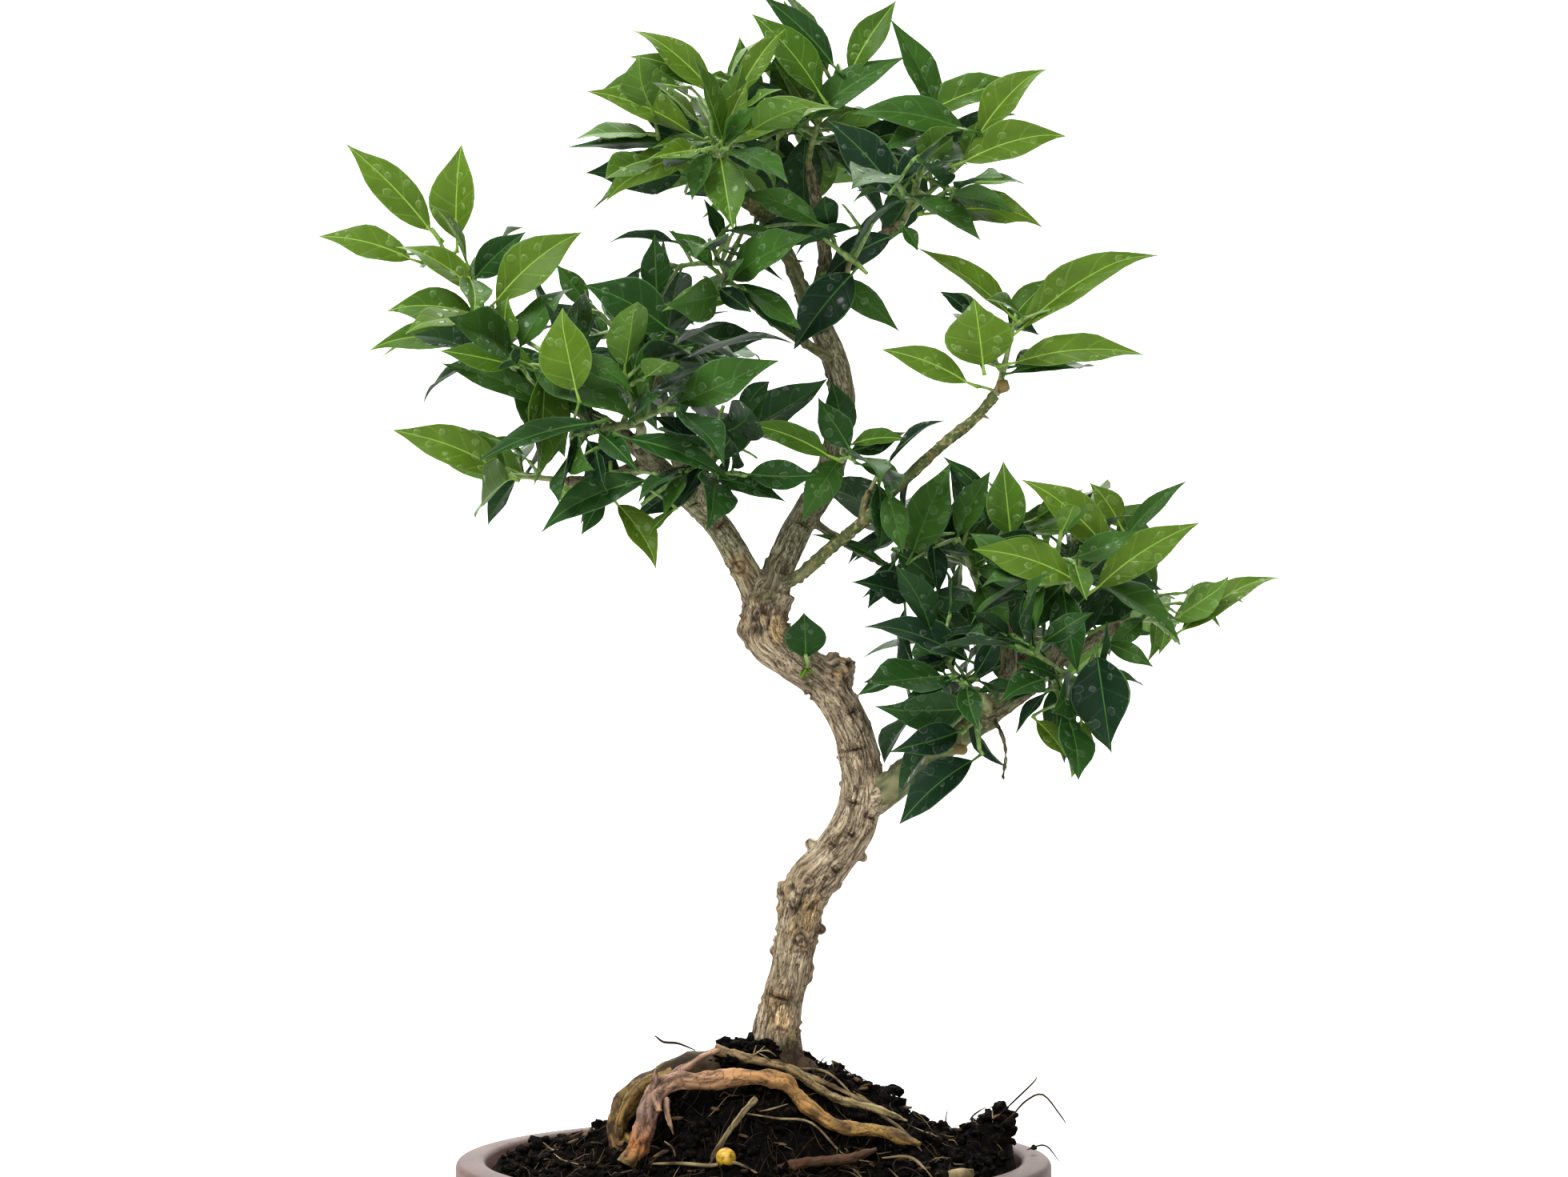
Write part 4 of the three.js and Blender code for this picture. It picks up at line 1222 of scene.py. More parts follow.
def tip_of(leaf):
    return leaf["base"] + (leaf["along"] - leaf["face"] * LEAF["droop"]) * leaf["length"]


def corners_of(node):
    """The corners of a node's solid, ready to be searched."""
    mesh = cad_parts[node].data
    tree = KDTree(len(mesh.vertices))
    for vertex in mesh.vertices:
        tree.insert(vertex.co / MM, vertex.index)
    tree.balance()
    return tree


def kept_shoots(name):
    """A mass's shoots with only the leaves that its solid has."""
    corners = corners_of(name)
    kept = []
    for shoot in shoots_of(MASSES[name]):
        near = corners.find(shoot["at"](1))[2]
        shoot["leaves"] = [leaf for leaf in shoot["leaves"] if corners.find(tip_of(leaf))[2] < TIP_NEARNESS]
        if shoot["leader"] or shoot["leaves"] or near < SHOOT_NEARNESS:
            kept.append(shoot)
    return kept


def hand_leaf(base, along, face, length, tone, **shape):
    """A leaf placed one by one, and what is special about its blade."""
    along = unit(np.array(along, float))
    face = np.array(face, float)
    face = unit(face - along * face.dot(along))
    place = {"base": np.array(base, float), "along": along, "face": face, "length": length}
    return place | {"lowness": 0, "tone": tone, "shape": shape}


grown = {name: kept_shoots(name) for name in MASSES}

# The only leaf on the trunk is round and faces the front, over a sprout of yellow-green buds.
FRONT = (0.1, -1, 0.1)
grown["leaf_on_trunk"][0]["leaves"] = [
    hand_leaf((18.2, -14.6, 235), (-0.02, -0.13, 1), FRONT, 17, 1, width=1.85, turn=0, sway=0, fold=0.12),
    hand_leaf((18.6, -9.5, 233.4), (-0.5, -0.6, -0.7), FRONT, 5, 4),
    hand_leaf((18.8, -9, 233.2), (0.4, -0.8, -0.4), FRONT, 4.4, 4),
    hand_leaf((18.4, -10, 233.6), (-0.3, -0.8, 0.5), FRONT, 4, 4),
]
print("leaves of the solids:", sum(len(shoot["leaves"]) for shoots in grown.values() for shoot in shoots))

# %% [markdown]
# ## Leaves that show one by one
#
# Inside the crown nobody can tell one leaf from the next, and chance may place them. At its edge
# each stands out against the white ground, so the leaves that show best are placed one by one, each
# on a thin twig from the nearest shoot of its mass.
#
# %% Leaves that show one by one
# Base x and z, point x and z, depth, width as a share of the length, and tone from 0 for the
# deepest green, in painted shade, to 4 for the freshest, in painted sunlight.
SHOWN_LEAVES = {
    "leaves_top_left": [
        (-14, 431, -40, 453, -22, 0.3, 4), (-15, 434, -42, 445, -14, 0.26, 3),
        (-25, 433, -53, 432, -20, 0.32, 3), (-21, 416, -56, 431, -26, 0.3, 4),
        (-21, 411, -63, 411, -24, 0.2, 1), (-20, 410, -50, 396, -22, 0.33, 4),
        (-10, 414, -2, 432, -36, 0.4, 4), (-10, 412, 28, 425, -34, 0.36, 4),
        (-5, 431, 10, 453, -20, 0.3, 4),
    ],
    "leaves_top_middle": [
        (23, 433, 0, 461, -2, 0.42, 3), (28, 444, 3, 468, 4, 0.26, 1), (34, 442, 50, 467, 8, 0.36, 3),
        (19, 425, 53, 447, 6, 0.28, 2),
    ],
    "leaves_top_right": [
        (64, 427, 48, 459, 0, 0.33, 2), (58, 425, 94, 438, 0, 0.33, 3), (79, 419, 100, 442, -8, 0.4, 4),
        (73, 408, 107, 418, -14, 0.38, 4), (62, 390, 99, 389, -14, 0.36, 4),
        (73, 419, 35, 425, -16, 0.3, 2), (49, 398, 26, 422, -14, 0.42, 0),
        (49, 399, 67, 419, -18, 0.26, 0), (48, 383, 24, 368, -8, 0.36, 0), (52, 386, 57, 378, -10, 0.5, 2),
    ],
    "leaves_leader": [(26, 368, 50, 351, -6, 0.3, 2)],
    "leaves_middle": [
        (22, 385, -4, 395, -34, 0.34, 2), (-8, 358, -30, 356, -36, 0.42, 3),
        (-33, 361, -34, 382, -20, 0.45, 1), (-11, 379, -17, 394, -24, 0.4, 1),
    ],
    "spray_upper_left": [
        (-111, 384, -140, 413, -18, 0.3, 4), (-102, 381, -101, 413, -18, 0.48, 4),
        (-118, 374, -149, 382, -18, 0.34, 4), (-96, 363, -121, 379, -22, 0.4, 4),
        (-96, 368, -79, 383, -16, 0.45, 1), (-88, 359, -60, 383, -24, 0.42, 4),
        (-96, 355, -125, 357, -20, 0.4, 3), (-94, 346, -131, 344, -22, 0.26, 3),
        (-85, 344, -84, 360, -28, 0.7, 3), (-75, 336, -99, 343, -30, 0.36, 3),
        (-72, 324, -106, 337, -28, 0.24, 2),
    ],
    "leaves_left_middle": [
        (-59, 327, -65, 354, -46, 0.66, 4), (-29, 349, -57, 364, -30, 0.5, 1),
        (-36, 297, -71, 282, -44, 0.3, 1), (-54, 316, -93, 303, -44, 0.2, 1),
        (-42, 311, -7, 297, -46, 0.22, 1), (-46, 289, -32, 269, -36, 0.42, 4),
        (-51, 292, -58, 279, -34, 0.4, 1), (-27, 287, -36, 278, -36, 0.3, 3),
    ],
    "spray_low_left": [(-86, 300, -124, 315, -16, 0.33, 4), (-86, 302, -103, 315, -12, 0.34, 3)],
    "leaves_left_low": [(-15, 298, 11, 290, -36, 0.3, 1)],
    "spray_right_upper": [
        (73, 331, 44, 342, -30, 0.3, 4), (87, 354, 56, 376, -30, 0.3, 4), (78, 336, 75, 358, -40, 0.95, 4),
        (92, 349, 135, 377, -30, 0.26, 4), (89, 337, 132, 341, -34, 0.28, 4),
        (88, 334, 110, 336, -30, 0.2, 1), (75, 353, 64, 362, -30, 0.4, 0),
        (88, 351, 104, 368, -24, 0.46, 3),
    ],
    "leaves_right_top": [
        (55, 273, 68, 303, -14, 0.42, 2), (89, 279, 86, 304, -16, 0.5, 3), (71, 279, 82, 301, -12, 0.4, 2),
        (82, 292, 66, 306, -8, 0.24, 1),
    ],
    "leaves_right_middle": [
        (122, 273, 94, 298, -26, 0.34, 4), (118, 261, 152, 283, -26, 0.3, 4),
        (128, 277, 149, 298, -14, 0.2, 2), (108, 264, 75, 274, -40, 0.38, 4),
        (127, 282, 117, 297, -14, 0.5, 4),
    ],
    "spray_right_outer": [(148, 246, 180, 266, -16, 0.26, 4)],
    "leaves_right_low": [
        (116, 238, 120, 208, -48, 0.62, 0), (111, 216, 108, 197, -40, 0.5, 4),
        (96, 216, 106, 204, -40, 0.42, 4), (121, 242, 136, 234, -30, 0.35, 2),
    ],
    "leaves_right_front": [
        (75, 202, 50, 181, -34, 0.42, 0), (73, 236, 39, 249, -38, 0.36, 0),
        (50, 230, 36, 224, -20, 0.3, 1),
    ],
    "leaves_wound": [
        (33, 309, 22, 325, -26, 0.55, 1), (34, 310, 53, 312, -24, 0.34, 3),
        (37, 303, 52, 297, -26, 0.4, 2), (26, 306, -3, 317, -26, 0.26, 3),
    ],
    "leaves_green_side": [(46, 293, 51, 273, -30, 0.42, 2), (43, 296, 44, 275, -24, 0.4, 1)],
    "leaves_right_inner": [
        (49, 270, 40, 254, -8, 0.38, 0), (50, 273, 64, 262, -10, 0.4, 1), (47, 268, 20, 280, -8, 0.12, 1),
    ],
}
TWIG_RADII = (0.8, 0.5)


def shown_leaf(draw, base_x, base_z, tip_x, tip_z, depth, width, tone):
    """An arched leaf that faces the camera, between two places of the photograph."""
    reach = np.array([tip_x - base_x, -2, tip_z - base_z], float)
    length = np.linalg.norm(reach)
    face = np.array([draw(-0.6, 0.5), -0.8, draw(0.1, 0.8)])
    face = unit(face - reach * face.dot(reach) / length**2)
    base = np.array([base_x, depth, base_z], float) - reach * LEAF["stalk"]
    along = reach * (1 + LEAF["stalk"]) + face * LEAF["droop"] * length
    width = width / LEAF["half_width"] / 2
    arch = -0.2 * reach[0] / length
    return hand_leaf(base, along, face, length * (1 + LEAF["stalk"]), tone, width=width, sway=arch)


def twig_to(leaf, shoots):
    """A twig from the nearest shoot to a leaf's base."""
    spots = [shoot["at"](share) for shoot in shoots for share in np.linspace(0.1, 1, 10)]
    root = min(spots, key=lambda spot: np.linalg.norm(spot - leaf["base"]))
    span = np.linalg.norm(leaf["base"] - root)
    bend = (root + leaf["base"]) / 2 + UP * span * 0.1
    at = bowed_path(root, bend, leaf["base"])
    return new_shoot(at, span, TWIG_RADII, [leaf])


shown_twigs = {}
draw = draws_from(4100)
for name, rows in SHOWN_LEAVES.items():
    shown_twigs[name] = [twig_to(shown_leaf(draw, *row), grown[name]) for row in rows]
print("leaves placed by hand:", sum(len(twigs) for twigs in shown_twigs.values()))

# %% [markdown]
# ## Open sky
#
# A pruned crown is open: between its sprays the white ground shows. The rule doesn't know that, so
# a leaf of it that is seen in one of these round windows is left out.
#
# %% Open sky
# Middle x and z of each window, and its radius, at the trunk's depth.
SKY = [
    (-36, 395, 9), (-20, 393, 8), (48, 374, 10), (88, 374, 12), (62, 327, 12), (35, 254, 11),
    (41, 238, 10), (93, 208, 9), (138, 208, 9), (-107, 306, 8), (-85, 279, 9), (-68, 283, 8),
    (-92, 323, 11), (-7, 282, 9), (-41, 377, 7), (-13, 451, 8), (48, 432, 11), (81, 443, 8),
    (-65, 379, 10), (-50, 376, 7), (-24, 373, 7), (72, 438, 7), (61, 383, 7), (61, 359, 6),
    (145, 268, 7), (142, 238, 7), (8, 308, 7), (86, 191, 7), (42, 222, 8),
    (-118, 336, 8), (-107, 329, 7), (-82, 320, 8), (-101, 290, 9), (-111, 287, 7), (49, 251, 8),
    (47, 272, 6), (31, 388, 8), (80, 386, 8), (114, 358, 8), (152, 247, 7),
]
LEAF_MIDDLE = 0.58


def in_sky(leaf):
    """Whether the middle of a leaf is seen in open sky."""
    middle = leaf["base"] + leaf["along"] * leaf["length"] * LEAF_MIDDLE
    nearness = CAMERA_FROM / (CAMERA_FROM + middle[1])
    x = CAMERA_AT[0] + (middle[0] - CAMERA_AT[0]) * nearness
    z = CAMERA_AT[1] + (middle[2] - CAMERA_AT[1]) * nearness
    return any(math.hypot(x - sky_x, z - sky_z) < radius for sky_x, sky_z, radius in SKY)


for shoots in grown.values():
    for shoot in shoots:
        shoot["leaves"] = [leaf for leaf in shoot["leaves"] if not in_sky(leaf)]
print("leaves of the rule that stay:", sum(len(s["leaves"]) for shoots in grown.values() for s in shoots))

# %% [markdown]
# ## One leaf
#
# The blade is stiff and slightly folded along its midrib, with a wavy edge and a point that curls
# under. A flat card with a picture has no thickness and no underside, so each blade is a closed
# sheet: rows from stalk to point, and columns from edge to edge with the midrib in the middle.
#
# %% One leaf
ROWS = np.array([0, 0.03, 0.08, 0.15, 0.24, 0.34, 0.45, 0.56, 0.67, 0.77, 0.86, 0.93, 0.975, 1])
COLUMNS = np.array([-1, -0.94, -0.63, -0.31, -0.04, 0.04, 0.31, 0.63, 0.94, 1])
BLADE = {"thick": 0.36, "rib": 0.3, "edge": 0.12, "stalk_half": 0.5, "tip_half": 0.12, "keel": 0.35}
TOP, UNDER, RIB, RIM = range(4)


def blade_faces():
    """The faces of one blade, and which part of the leaf each is."""
    rows, columns = len(ROWS), len(COLUMNS)
    below = rows * columns
    faces, kinds = [], []

    def add(face, kind):
        faces.append(face)
        kinds.append(kind)

    middle = columns // 2 - 1
    for i in range(rows - 1):
        for j in range(columns - 1):
            a = i * columns + j
            b = a + columns
            kind = RIB if j == middle else RIM if j in (0, columns - 2) else TOP
            add((a, a + 1, b + 1, b), kind)
            under = RIB if j == middle else UNDER
            add((below + b, below + b + 1, below + a + 1, below + a), under)
        left = i * columns
        right = left + columns - 1
        add((left, left + columns, below + left + columns, below + left), RIM)
        add((below + right, below + right + columns, right + columns, right), RIM)
    for j in range(columns - 1):
        last = (rows - 1) * columns + j
        add((j + 1, j, below + j, below + j + 1), RIM)
        add((last, last + 1, below + last + 1, below + last), RIM)
    return faces, kinds


BLADE_FACES, BLADE_KINDS = blade_faces()
print("faces of one blade:", len(BLADE_FACES))

# %% [markdown]
# ## The shape of a leaf
#
# The same sheet takes every leaf's shape. Its outline is a sine that is pinched towards the point,
# and a fold, a wave, a curl and a turn bend it. The stalk is a short tube. Leaves modelled one by
# one would look no better.
#
# %% The shape of a leaf
PETIOLE_RADII = [0.85, 0.62, 0.5, 0.42]
PETIOLE_SIDES = 6


def outline(v):
    """How wide a blade is at a share of its length."""
    body = np.sin(np.pi * np.clip(v, 0, 1) ** 0.84) ** 0.88
    return body * (1 - 0.42 * soft_step(v, 0.6, 1.0))


OUTLINE_PEAK = outline(np.linspace(0, 1, 200)).max()


def blade_points(leaf, look):
    """The points of one blade: its top sheet, then its underside."""
    length = leaf["length"]
    v = ROWS[:, None]
    u = COLUMNS[None, :]
    shape = outline(v) / OUTLINE_PEAK
    width = shape * LEAF["half_width"] * look["width"] * length
    half = np.maximum(width, mix(BLADE["stalk_half"], BLADE["tip_half"], v))
    rib = np.minimum(BLADE["rib"] * (1 - 0.6 * v), half * 0.4)
    reach = (np.abs(u) - 0.04) / 0.96
    side = np.sign(u) * (rib + reach * (half - rib))
    lift = np.abs(side) * math.tan(look["fold"]) * (1 - 0.35 * reach)
    ripple = np.sin(TURN * (look["waves"] * v + look["phase"] + 0.25 * np.sign(u)))
    lift += look["wave"] * length * ripple * reach**2 * shape
    way = LEAF["stalk"] + (1 - LEAF["stalk"]) * v
    sink = (LEAF["droop"] * way**2 + look["curl"] * np.clip(v - 0.7, 0, 1) ** 2) * length
    sway = look["sway"] * v * (1 - v) * length
    turn = look["turn"] * v**2
    across = np.cross(leaf["along"], leaf["face"])
    cos, sin = np.cos(turn)[..., None], np.sin(turn)[..., None]
    right = across * cos + leaf["face"] * sin
    out = leaf["face"] * cos - across * sin
    middle = leaf["base"] + leaf["along"] * (way * length)[..., None]
    middle = middle - leaf["face"] * sink[..., None] + across * sway[..., None]
    sheet = middle + right * side[..., None] + out * lift[..., None]
    thick = np.where(np.abs(u) > 0.9, BLADE["edge"], BLADE["thick"] / 2) * (1 - 0.6 * v)
    rib_here = np.abs(u) < 0.1
    top = thick - np.where(rib_here, 0.15, 0) * (1 - v)
    under = thick + np.where(rib_here, BLADE["keel"], 0) * (1 - 0.8 * v)
    sheets = (sheet + out * top[..., None], sheet - out * under[..., None])
    return np.vstack([points.reshape(-1, 3) for points in sheets])


def petiole(leaf):
    """The leaf's stalk, thickest at the shoot."""
    count = len(PETIOLE_RADII)
    shares = np.linspace(-0.02, LEAF["stalk"] + 0.03, count)[:, None]
    bent = leaf["along"] * shares - leaf["face"] * LEAF["droop"] * shares * shares
    across = np.tile(np.cross(leaf["along"], leaf["face"]), (count, 1))
    rings = (leaf["base"] + bent * leaf["length"], across, np.cross(across, leaf["along"]))
    return tube(rings, PETIOLE_RADII, PETIOLE_SIDES)


print("a blade is widest at", outline(np.linspace(0, 1, 201)).argmax() / 200, "of its length")

# %% [markdown]
# ## No two leaves alike
#
# Every leaf gets its own width, fold, wave, curl and turn. Blades that cross look wrong at once, so
# each blade of the rule is tested, as a coarse sheet to save time, against those placed one by one.
#
# %% No two leaves alike
COARSE_ROWS = (0, 3, 5, 7, 9, 11, 13)
COARSE_COLUMNS = (0, 4, 9)


def look_of(draw):
    return {
        "width": draw(0.74, 1.0),
        "fold": math.radians(draw(12, 36)),
        "wave": draw(0.008, 0.026),
        "waves": draw(1.4, 2.6),
        "phase": draw(0, 1),
        "curl": draw(-0.5, 1.4),
        "sway": draw(-0.16, 0.16),
        "turn": math.radians(draw(-32, 32)),
    }


def sheet_tree(points):
    """A coarse sheet of a blade, and its box."""
    columns = len(COLUMNS)
    coarse = [points[i * columns + j] for i in COARSE_ROWS for j in COARSE_COLUMNS]
    wide = len(COARSE_COLUMNS)
    faces = []
    for i in range(len(COARSE_ROWS) - 1):
        for j in range(wide - 1):
            faces.append((i * wide + j, i * wide + j + 1, (i + 1) * wide + j + 1, (i + 1) * wide + j))
    return BVHTree.FromPolygons(coarse, faces), np.min(coarse, axis=0), np.max(coarse, axis=0)


def crosses(sheet, others):
    tree, low, high = sheet
    for other, other_low, other_high in others:
        if (low < other_high).all() and (other_low < high).all() and tree.overlap(other):
            return True
    return False


def open_blade(leaf, draw):
    """Gives a leaf its own look and points, and returns its sheet."""
    leaf["look"] = look_of(draw) | leaf.get("shape", {})
    leaf["points"] = blade_points(leaf, leaf["look"])
    return sheet_tree(leaf["points"])


draw = draws_from(4000)
by_hand = [leaf for twigs in shown_twigs.values() for twig in twigs for leaf in twig["leaves"]]
shown_sheets = [open_blade(leaf, draw) for leaf in by_hand]
placed = list(shown_sheets)
for name, shoots in grown.items():
    draw = draws_from(MASSES[name]["seed"] + 5000)
    for shoot in shoots:
        sheets = [open_blade(leaf, draw) for leaf in shoot["leaves"]]
        clear = [not crosses(sheet, shown_sheets) for sheet in sheets]
        shoot["leaves"] = [leaf for leaf, free in zip(shoot["leaves"], clear) if free]
        placed += [sheet for sheet, free in zip(sheets, clear) if free]
print("blades open:", len(placed))

# %% [markdown]
# ## Side shoots within the same reach
#
# A living spray is fuller than the solid's few leaves: short side shoots carry smaller leaves
# between the big ones. They grow by the same rule, and a leaf that would leave its mass's box or
# cross another blade is left out.
#
# %% Side shoots
SIDE = {
    "places": (0.3, 0.5, 0.68, 0.84), "length": (9, 15), "leaf": (0.5, 0.8), "count": 3,
    "radii": (0.85, 0.5), "shortest_shoot": 12, "past_box": 1,
}

side_leaves = 0
for name, shoots in grown.items():
    draw = draws_from(MASSES[name]["seed"] + 9000)
    low, high = (np.array(corner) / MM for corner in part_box(name))
    low, high = low - SIDE["past_box"], high + SIDE["past_box"]
    for shoot in [shoot for shoot in shoots if shoot["span"] >= SIDE["shortest_shoot"]]:
        for place in SIDE["places"]:
            share = mix(0.35 if shoot["leader"] else 0, 1, place)
            root, ahead = shoot["at"](share), heading(shoot["at"], share)
            out = unit(np.array([draw(-1, 1), draw(-1, 1), draw(-0.5, 1)]))
            way = unit(unit(out - ahead * out.dot(ahead)) + ahead * 0.7)
            span = draw(*SIDE["length"])
            end = root + way * span
            at = bowed_path(root, (root + end) / 2 + UP * span * 0.12, end)
            size = MASSES[name]["leaf"] * draw(*SIDE["leaf"])
            kept = []
            for leaf in leaves_round(at, 0, span, size, draw, SIDE["count"]):
                sheet = open_blade(leaf, draw)
                inside = (sheet[1] > low).all() and (sheet[2] < high).all()
                if inside and not in_sky(leaf) and not crosses(sheet, placed):
                    kept.append(leaf)
                    placed.append(sheet)
            if kept:
                shoots.append(new_shoot(at, span, SIDE["radii"], kept))
                side_leaves += len(kept)
for name, twigs in shown_twigs.items():
    grown[name] += twigs
print("leaves on side shoots:", side_leaves)

# %% [markdown]
# ## Leaf finishes
#
# A citrus leaf is a wax-coated skin over soft green tissue. The wax gives it a low sheen, and the
# leaves are wet, with flat drops that catch the light, shown as painted highlights. Undersides have
# no wax and are dull. Each tone is one material, from old blue-green to young yellow-green, and the
# tones, like the shaded and bright undersides, midribs and edges, also paint light and shade.
#
# %% Leaf finishes
# The tones are also painted light: deepest for the shaded inside, brightest for sunlit tops.
TONES = {
    "shaded leaf": ("#0A220F", 0.07), "deep green leaf": ("#16340B", 0.08), "grown leaf in part shade": ("#26450F", 0.09),
    "sunlit leaf": ("#33500D", 0.09), "young sunlit leaf": ("#3F570F", 0.09),
}
UNDERSIDES = {"bright underside": ("#486626", 0.05), "shaded underside": ("#1C3419", 0.05)}
# The dull greens of midribs and edges, each for bright leaves and for shaded ones.
DULL_GREENS = {
    "bright midrib": "#6E8C34", "shaded midrib": "#35581F",
    "bright edge": "#4C6A24", "shaded edge": "#33522A",
}
VEINS_EVERY = 9
DROP_SIZE = 4.7
DROP_WANDER = 1.6
DRY_CELLS = 0.3


def shade_of(colour, factor, veil=0.0):
    """A colour made darker or lighter, under a thin grey veil of painted sheen."""
    return [min(1, v * factor + veil) for v in linear(colour)[:3]] + [1]


def vein_lines(material, blade):
    """1 on the side veins, which leave the midrib at a slant."""
    slant = [from_half(material, blade["X"]), -0.42, blade["Y"]]
    row = add_node(material, "Math", slant, operation="MULTIPLY_ADD")
    row = add_node(material, "Math", [row, VEINS_EVERY], operation="MULTIPLY")
    row = add_node(material, "Math", [row, 1.0], operation="PINGPONG")
    return add_node(material, "MapRange", [row, 0.84, 1.0])


def drop_domes(material):
    """Flat water drops, from 0 on the dry leaf to 1 in their middle."""
    place = add_node(material, "TexCoord", out="Object")
    wander = add_node(material, "TexNoise", {"Vector": place, "Scale": repeats(3)}, "Color")
    sockets = [wander, [DROP_WANDER * MM] * 3, place]
    place = add_node(material, "VectorMath", sockets, operation="MULTIPLY_ADD")
    cells = add_node(material, "TexVoronoi", {"Vector": place, "Scale": repeats(DROP_SIZE)})
    chance = add_node(material, "SeparateColor", [cells.node.outputs["Color"]])
    there = add_node(material, "Math", [chance, DRY_CELLS], operation="GREATER_THAN")
    dome = add_node(material, "MapRange", [cells, 0.38, 0.24], interpolation_type="SMOOTHSTEP")
    return add_node(material, "Math", [dome, there], operation="MULTIPLY")


def leaf_material(name, colour, shine):
    """Wax over green that pales to its tip, with veins, and drops with a painted highlight."""
    made, surface = new_material(name, Specular_IOR_Level=shine)
    blade = add_node(made, "SeparateXYZ", [add_node(made, "UVMap", uv_map="blade")]).node.outputs
    vein, dome = vein_lines(made, blade), drop_domes(made)
    # The drops' film is a painted highlight that makes each drop paler.
    paling, faint, film = (
        add_node(made, "Math", [mask, share], operation="MULTIPLY")
        for mask, share in ((blade["Y"], 0.4), (vein, 0.34), (dome, 0.25))
    )
    # The drops' rim is a brighter painted highlight round each drop's edge.
    rim = add_node(made, "Math", [dome, 0.5], operation="PINGPONG")
    lay_colours(
        made, surface, shade_of(colour, 0.45), (speckle(made, 8, 3), shade_of(colour, 1.4)),
        (paling, shade_of(colour, 1.6, 0.01)), (faint, shade_of(colour, 2.0, 0.02)),
        (film, shade_of(colour, 1.8, 0.03)), (rim, shade_of(colour, 1.9, 0.09)),
    )
    wire(add_node(made, "MapRange", {0: dome, 3: 0.46, 4: 0.12}), surface, "Roughness")
    height = add_node(made, "Math", [vein, -0.2, dome], operation="MULTIPLY_ADD")
    roughen(made, surface, height, 0.8, 0.5)
    return made


def plain_green(name, colour):
    """Dull, slightly mottled green for ribs, edges and stalks."""
    made, surface = new_material(name, Roughness=0.6, Specular_IOR_Level=0.15)
    lay_colours(made, surface, shade_of(colour, 0.8), (speckle(made, 3, 3), shade_of(colour, 1.2)))
    return made


leaf_finishes = [leaf_material(name, *look) for name, look in (TONES | UNDERSIDES).items()]
leaf_finishes += [plain_green(name, colour) for name, colour in DULL_GREENS.items()]
print("leaf finishes:", len(leaf_finishes))

# %% [markdown]
# ## Leaves on their sprays
#
# All leaves of one mass are one piece, which takes the place of that mass's solid. A leaf's tone
# follows the light of its spray, rises with its height and falls towards the older, lower leaves.
#
# %% Leaves on their sprays
# Over how much height a spray's leaves turn brighter, and how many of the tones are shaded ones.
RISE_SPAN = 40
SHADED_TONES = 3


def tone_of(mass, leaf, draw):
    """Which green a leaf has, from 0 for the deepest, in painted shade, to 4 in painted sunlight."""
    rise = (leaf["base"][2] - mass["heart"][2]) / RISE_SPAN
    # Painted light: higher leaves of sunnier sprays are brighter, lower and older ones darker.
    light = mass["light"] + 0.26 * rise - 0.16 * leaf["lowness"] + draw(-0.14, 0.14)
    return leaf.get("tone", int(np.clip(light, 0, 0.999) * len(TONES)))


def make_leaves(name, shoots):
    draw = draws_from(MASSES[name]["seed"] + 7000)
    parts, picks, uvs = [], [], []
    u, v = np.meshgrid((COLUMNS + 1) / 2, ROWS)
    blade_uv = np.tile(np.stack([u.ravel(), v.ravel()], axis=1), (2, 1))
    for shoot in shoots:
        for leaf in shoot["leaves"]:
            tone = tone_of(MASSES[name], leaf, draw)
            shaded = tone < SHADED_TONES
            finish = [tone] + [len(TONES) + 2 * part + shaded for part in range(3)]
            parts.append((leaf["points"], BLADE_FACES))
            picks += [finish[kind] for kind in BLADE_KINDS]
            uvs.append(blade_uv)
            stalk = petiole(leaf)
            parts.append(stalk)
            picks += [finish[RIB]] * len(stalk[1])
            uvs.append(np.full((len(stalk[0]), 2), 0.5))
    made = make_piece(name + "_blades", *joined(parts), leaf_finishes, picks)
    corners = np.empty(len(made.data.loops), np.int32)
    made.data.loops.foreach_get("vertex_index", corners)
    layer = made.data.uv_layers.new(name="blade")
    layer.data.foreach_set("uv", np.vstack(uvs)[corners].ravel())
    dress(made, "citrus_leaf", name)


for name, shoots in grown.items():
    make_leaves(name, shoots)

# %% [markdown]
# ## Shoots
#
# A young citrus shoot is green, a little thicker at each leaf's foot, and brown where it leaves its
# bough. All shoots are one piece of thin tubes, with their age kept on each point for the colour.
#
# %% Shoots
SHOOT_SIDES = 8
SHOOT_STEP = 1.6
BUD_SWELL = 0.35


def shoot_tube(shoot, seed):
    """A shoot that swells at every leaf, and its points' age."""
    at = shoot["at"]
    length = length_of(at, 14)
    steps = max(5, round(length / SHOOT_STEP))
    shares = np.linspace(0, 1, steps + 1)
    radii = mix(shoot["radii"][0], shoot["radii"][1], shares) * 0.86
    centres, across, up = rings_along(at, steps)
    for leaf in shoot["leaves"]:
        away = np.linalg.norm(centres - leaf["base"], axis=1)
        radii = radii + BUD_SWELL * np.exp(-((away / 1.3) ** 2))
    points, faces = tube((centres, across, up), radii, SHOOT_SIDES)
    points = points + 0.16 * lump_noise(points, 2.2, seed)[:, None]
    age = np.repeat(1 - shares, SHOOT_SIDES) * (1.0 if shoot["leader"] else 0.3)
    return points, faces, np.append(age, [age[0], age[-1]])


shoot_parts = [shoot_tube(shoot, i) for shoots in grown.values() for i, shoot in enumerate(shoots)]
shoots_piece = make_grown("green_shoots", shoot_parts, "age")
print("shoots:", len(shoot_parts))

